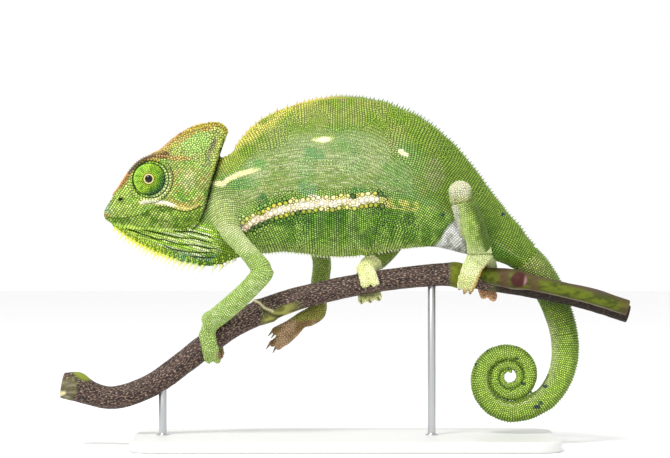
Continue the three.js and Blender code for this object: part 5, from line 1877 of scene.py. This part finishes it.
def bark(name, roughness, low, high, fleck):
    """Bark with fine pale flecks that run along the stem, under the tint's own patches."""
    made, nodes, shader = material(name, Roughness=roughness, Specular_IOR_Level=0.2)
    along, tint = node(nodes, "UVMap"), node(nodes, "Attribute")
    along.uv_map, tint.attribute_name = "along", "tint"
    stretch = node(nodes, "Mapping", Scale=(0.5, 1.5, 1))
    coarse = node(nodes, "TexNoise", Scale=0.25, Detail=4)
    fine = node(nodes, "TexNoise", Scale=1.6, Detail=3)
    ground = node(nodes, "ValToRGB")
    for stop, place, tone in zip(ground.color_ramp.elements, (0.35, 0.65), (low, high)):
        stop.position, stop.color = place, (*ink(tone), 1)
    spots = node(nodes, "MapRange", From_Min=0.54, From_Max=0.62)
    flecked, covered = node(nodes, "Mix"), node(nodes, "Mix")
    flecked.data_type = covered.data_type = "RGBA"
    set_inputs(flecked, B=(*ink(fleck), 1))
    relief = node(nodes, "Bump", Strength=0.5, Distance=0.0002)
    wire(
        made, (along, "UV", stretch, "Vector"), (stretch, "Vector", coarse, "Vector"),
        (stretch, "Vector", fine, "Vector"), (coarse, "Fac", ground, "Fac"), (fine, "Fac", spots, "Value"),
        (spots, "Result", flecked, "Factor"), (ground, "Color", flecked, "A"),
        (tint, "Alpha", covered, "Factor"), (flecked, "Result", covered, "A"), (tint, "Color", covered, "B"),
        (covered, "Result", shader, "Base Color"), (fine, "Fac", relief, "Height"),
        (relief, "Normal", shader, "Normal"),
    )
    return made


hide = tinted("chameleon_skin", Roughness=0.5, Specular_IOR_Level=0.22)
for piece in [skin, *coat]:
    piece.data.materials.append(hide)
wet = tinted("eyeball", Roughness=0.08, Specular_IOR_Level=0.35)
for piece in eyes:
    piece.data.materials.append(wet)
claw_piece.data.materials.append(tinted("claw_horn", Roughness=0.3))
branch.data.materials.append(bark("purple_bark", 0.65, "251b1e", "4a3836", "9c8872"))
shoot.data.materials.append(bark("green_bark", 0.6, "3a440a", "505a14", "7b8334"))

plastic, nodes, shader = material("matte_plastic", Roughness=0.45, Base_Color=(*ink("dededb"), 1))
grain = node(nodes, "TexNoise", Scale=900)
relief = node(nodes, "Bump", Strength=0.25, Distance=0.0001)
wire(plastic, (grain, "Fac", relief, "Height"), (relief, "Normal", shader, "Normal"))
plate.data.materials.append(plastic)

steel, nodes, shader = material("brushed_steel", Roughness=0.32, Metallic=1.0, Base_Color=(*ink("c2c4c6"), 1))
place, stretch = node(nodes, "TexCoord"), node(nodes, "Mapping", Scale=(1, 1, 0.03))
grain = node(nodes, "TexNoise", Scale=4000)
relief = node(nodes, "Bump", Strength=0.2, Distance=0.00005)
wire(
    steel, (place, "Object", stretch, "Vector"), (stretch, "Vector", grain, "Vector"),
    (grain, "Fac", relief, "Height"), (relief, "Normal", shader, "Normal"),
)
for rod in rods:
    rod.data.materials.append(steel)

# ---------- Stage ----------
scene = bpy.context.scene
scene.view_settings.view_transform = "Standard"
floor = make_mesh(
    "floor", [(-3000, -3000, 0), (3000, -3000, 0), (3000, 3000, 0), (-3000, 3000, 0)], [[0, 1, 2, 3]]
)
floor.data.materials.append(material("pale_floor", Roughness=0.9, Base_Color=(0.93, 0.93, 0.93, 1))[0])
world = bpy.data.worlds.new("studio")
world.use_nodes = True
set_inputs(world.node_tree.nodes["Background"], Color=(1, 1, 1, 1), Strength=1.0)
scene.world = world


def softbox(name, place, size, power, target=(0, 0, 95)):
    light = bpy.data.lights.new(name, "AREA")
    light.shape, light.size, light.energy = "DISK", size * MM, power
    thing = bpy.data.objects.new(name, light)
    thing.location = Vector(place) * MM
    thing.rotation_euler = (Vector(target) * MM - thing.location).to_track_quat("-Z", "Y").to_euler()
    scene.collection.objects.link(thing)


softbox("key", (-450, -700, 1100), 420, 12)
camera = bpy.data.objects.new("camera", bpy.data.cameras.new("camera"))
scene.collection.objects.link(camera)
camera.data.sensor_width = 36
camera.data.lens = camera.data.sensor_width * 1200 / 301.5  # the view is 301.5 mm wide at 1200 mm
camera.data.clip_start, camera.data.clip_end = 0.05, 20
camera.location = (-0.0045, -1.2, 0.0977)
camera.rotation_euler = (math.radians(90), 0, 0)
scene.camera = camera
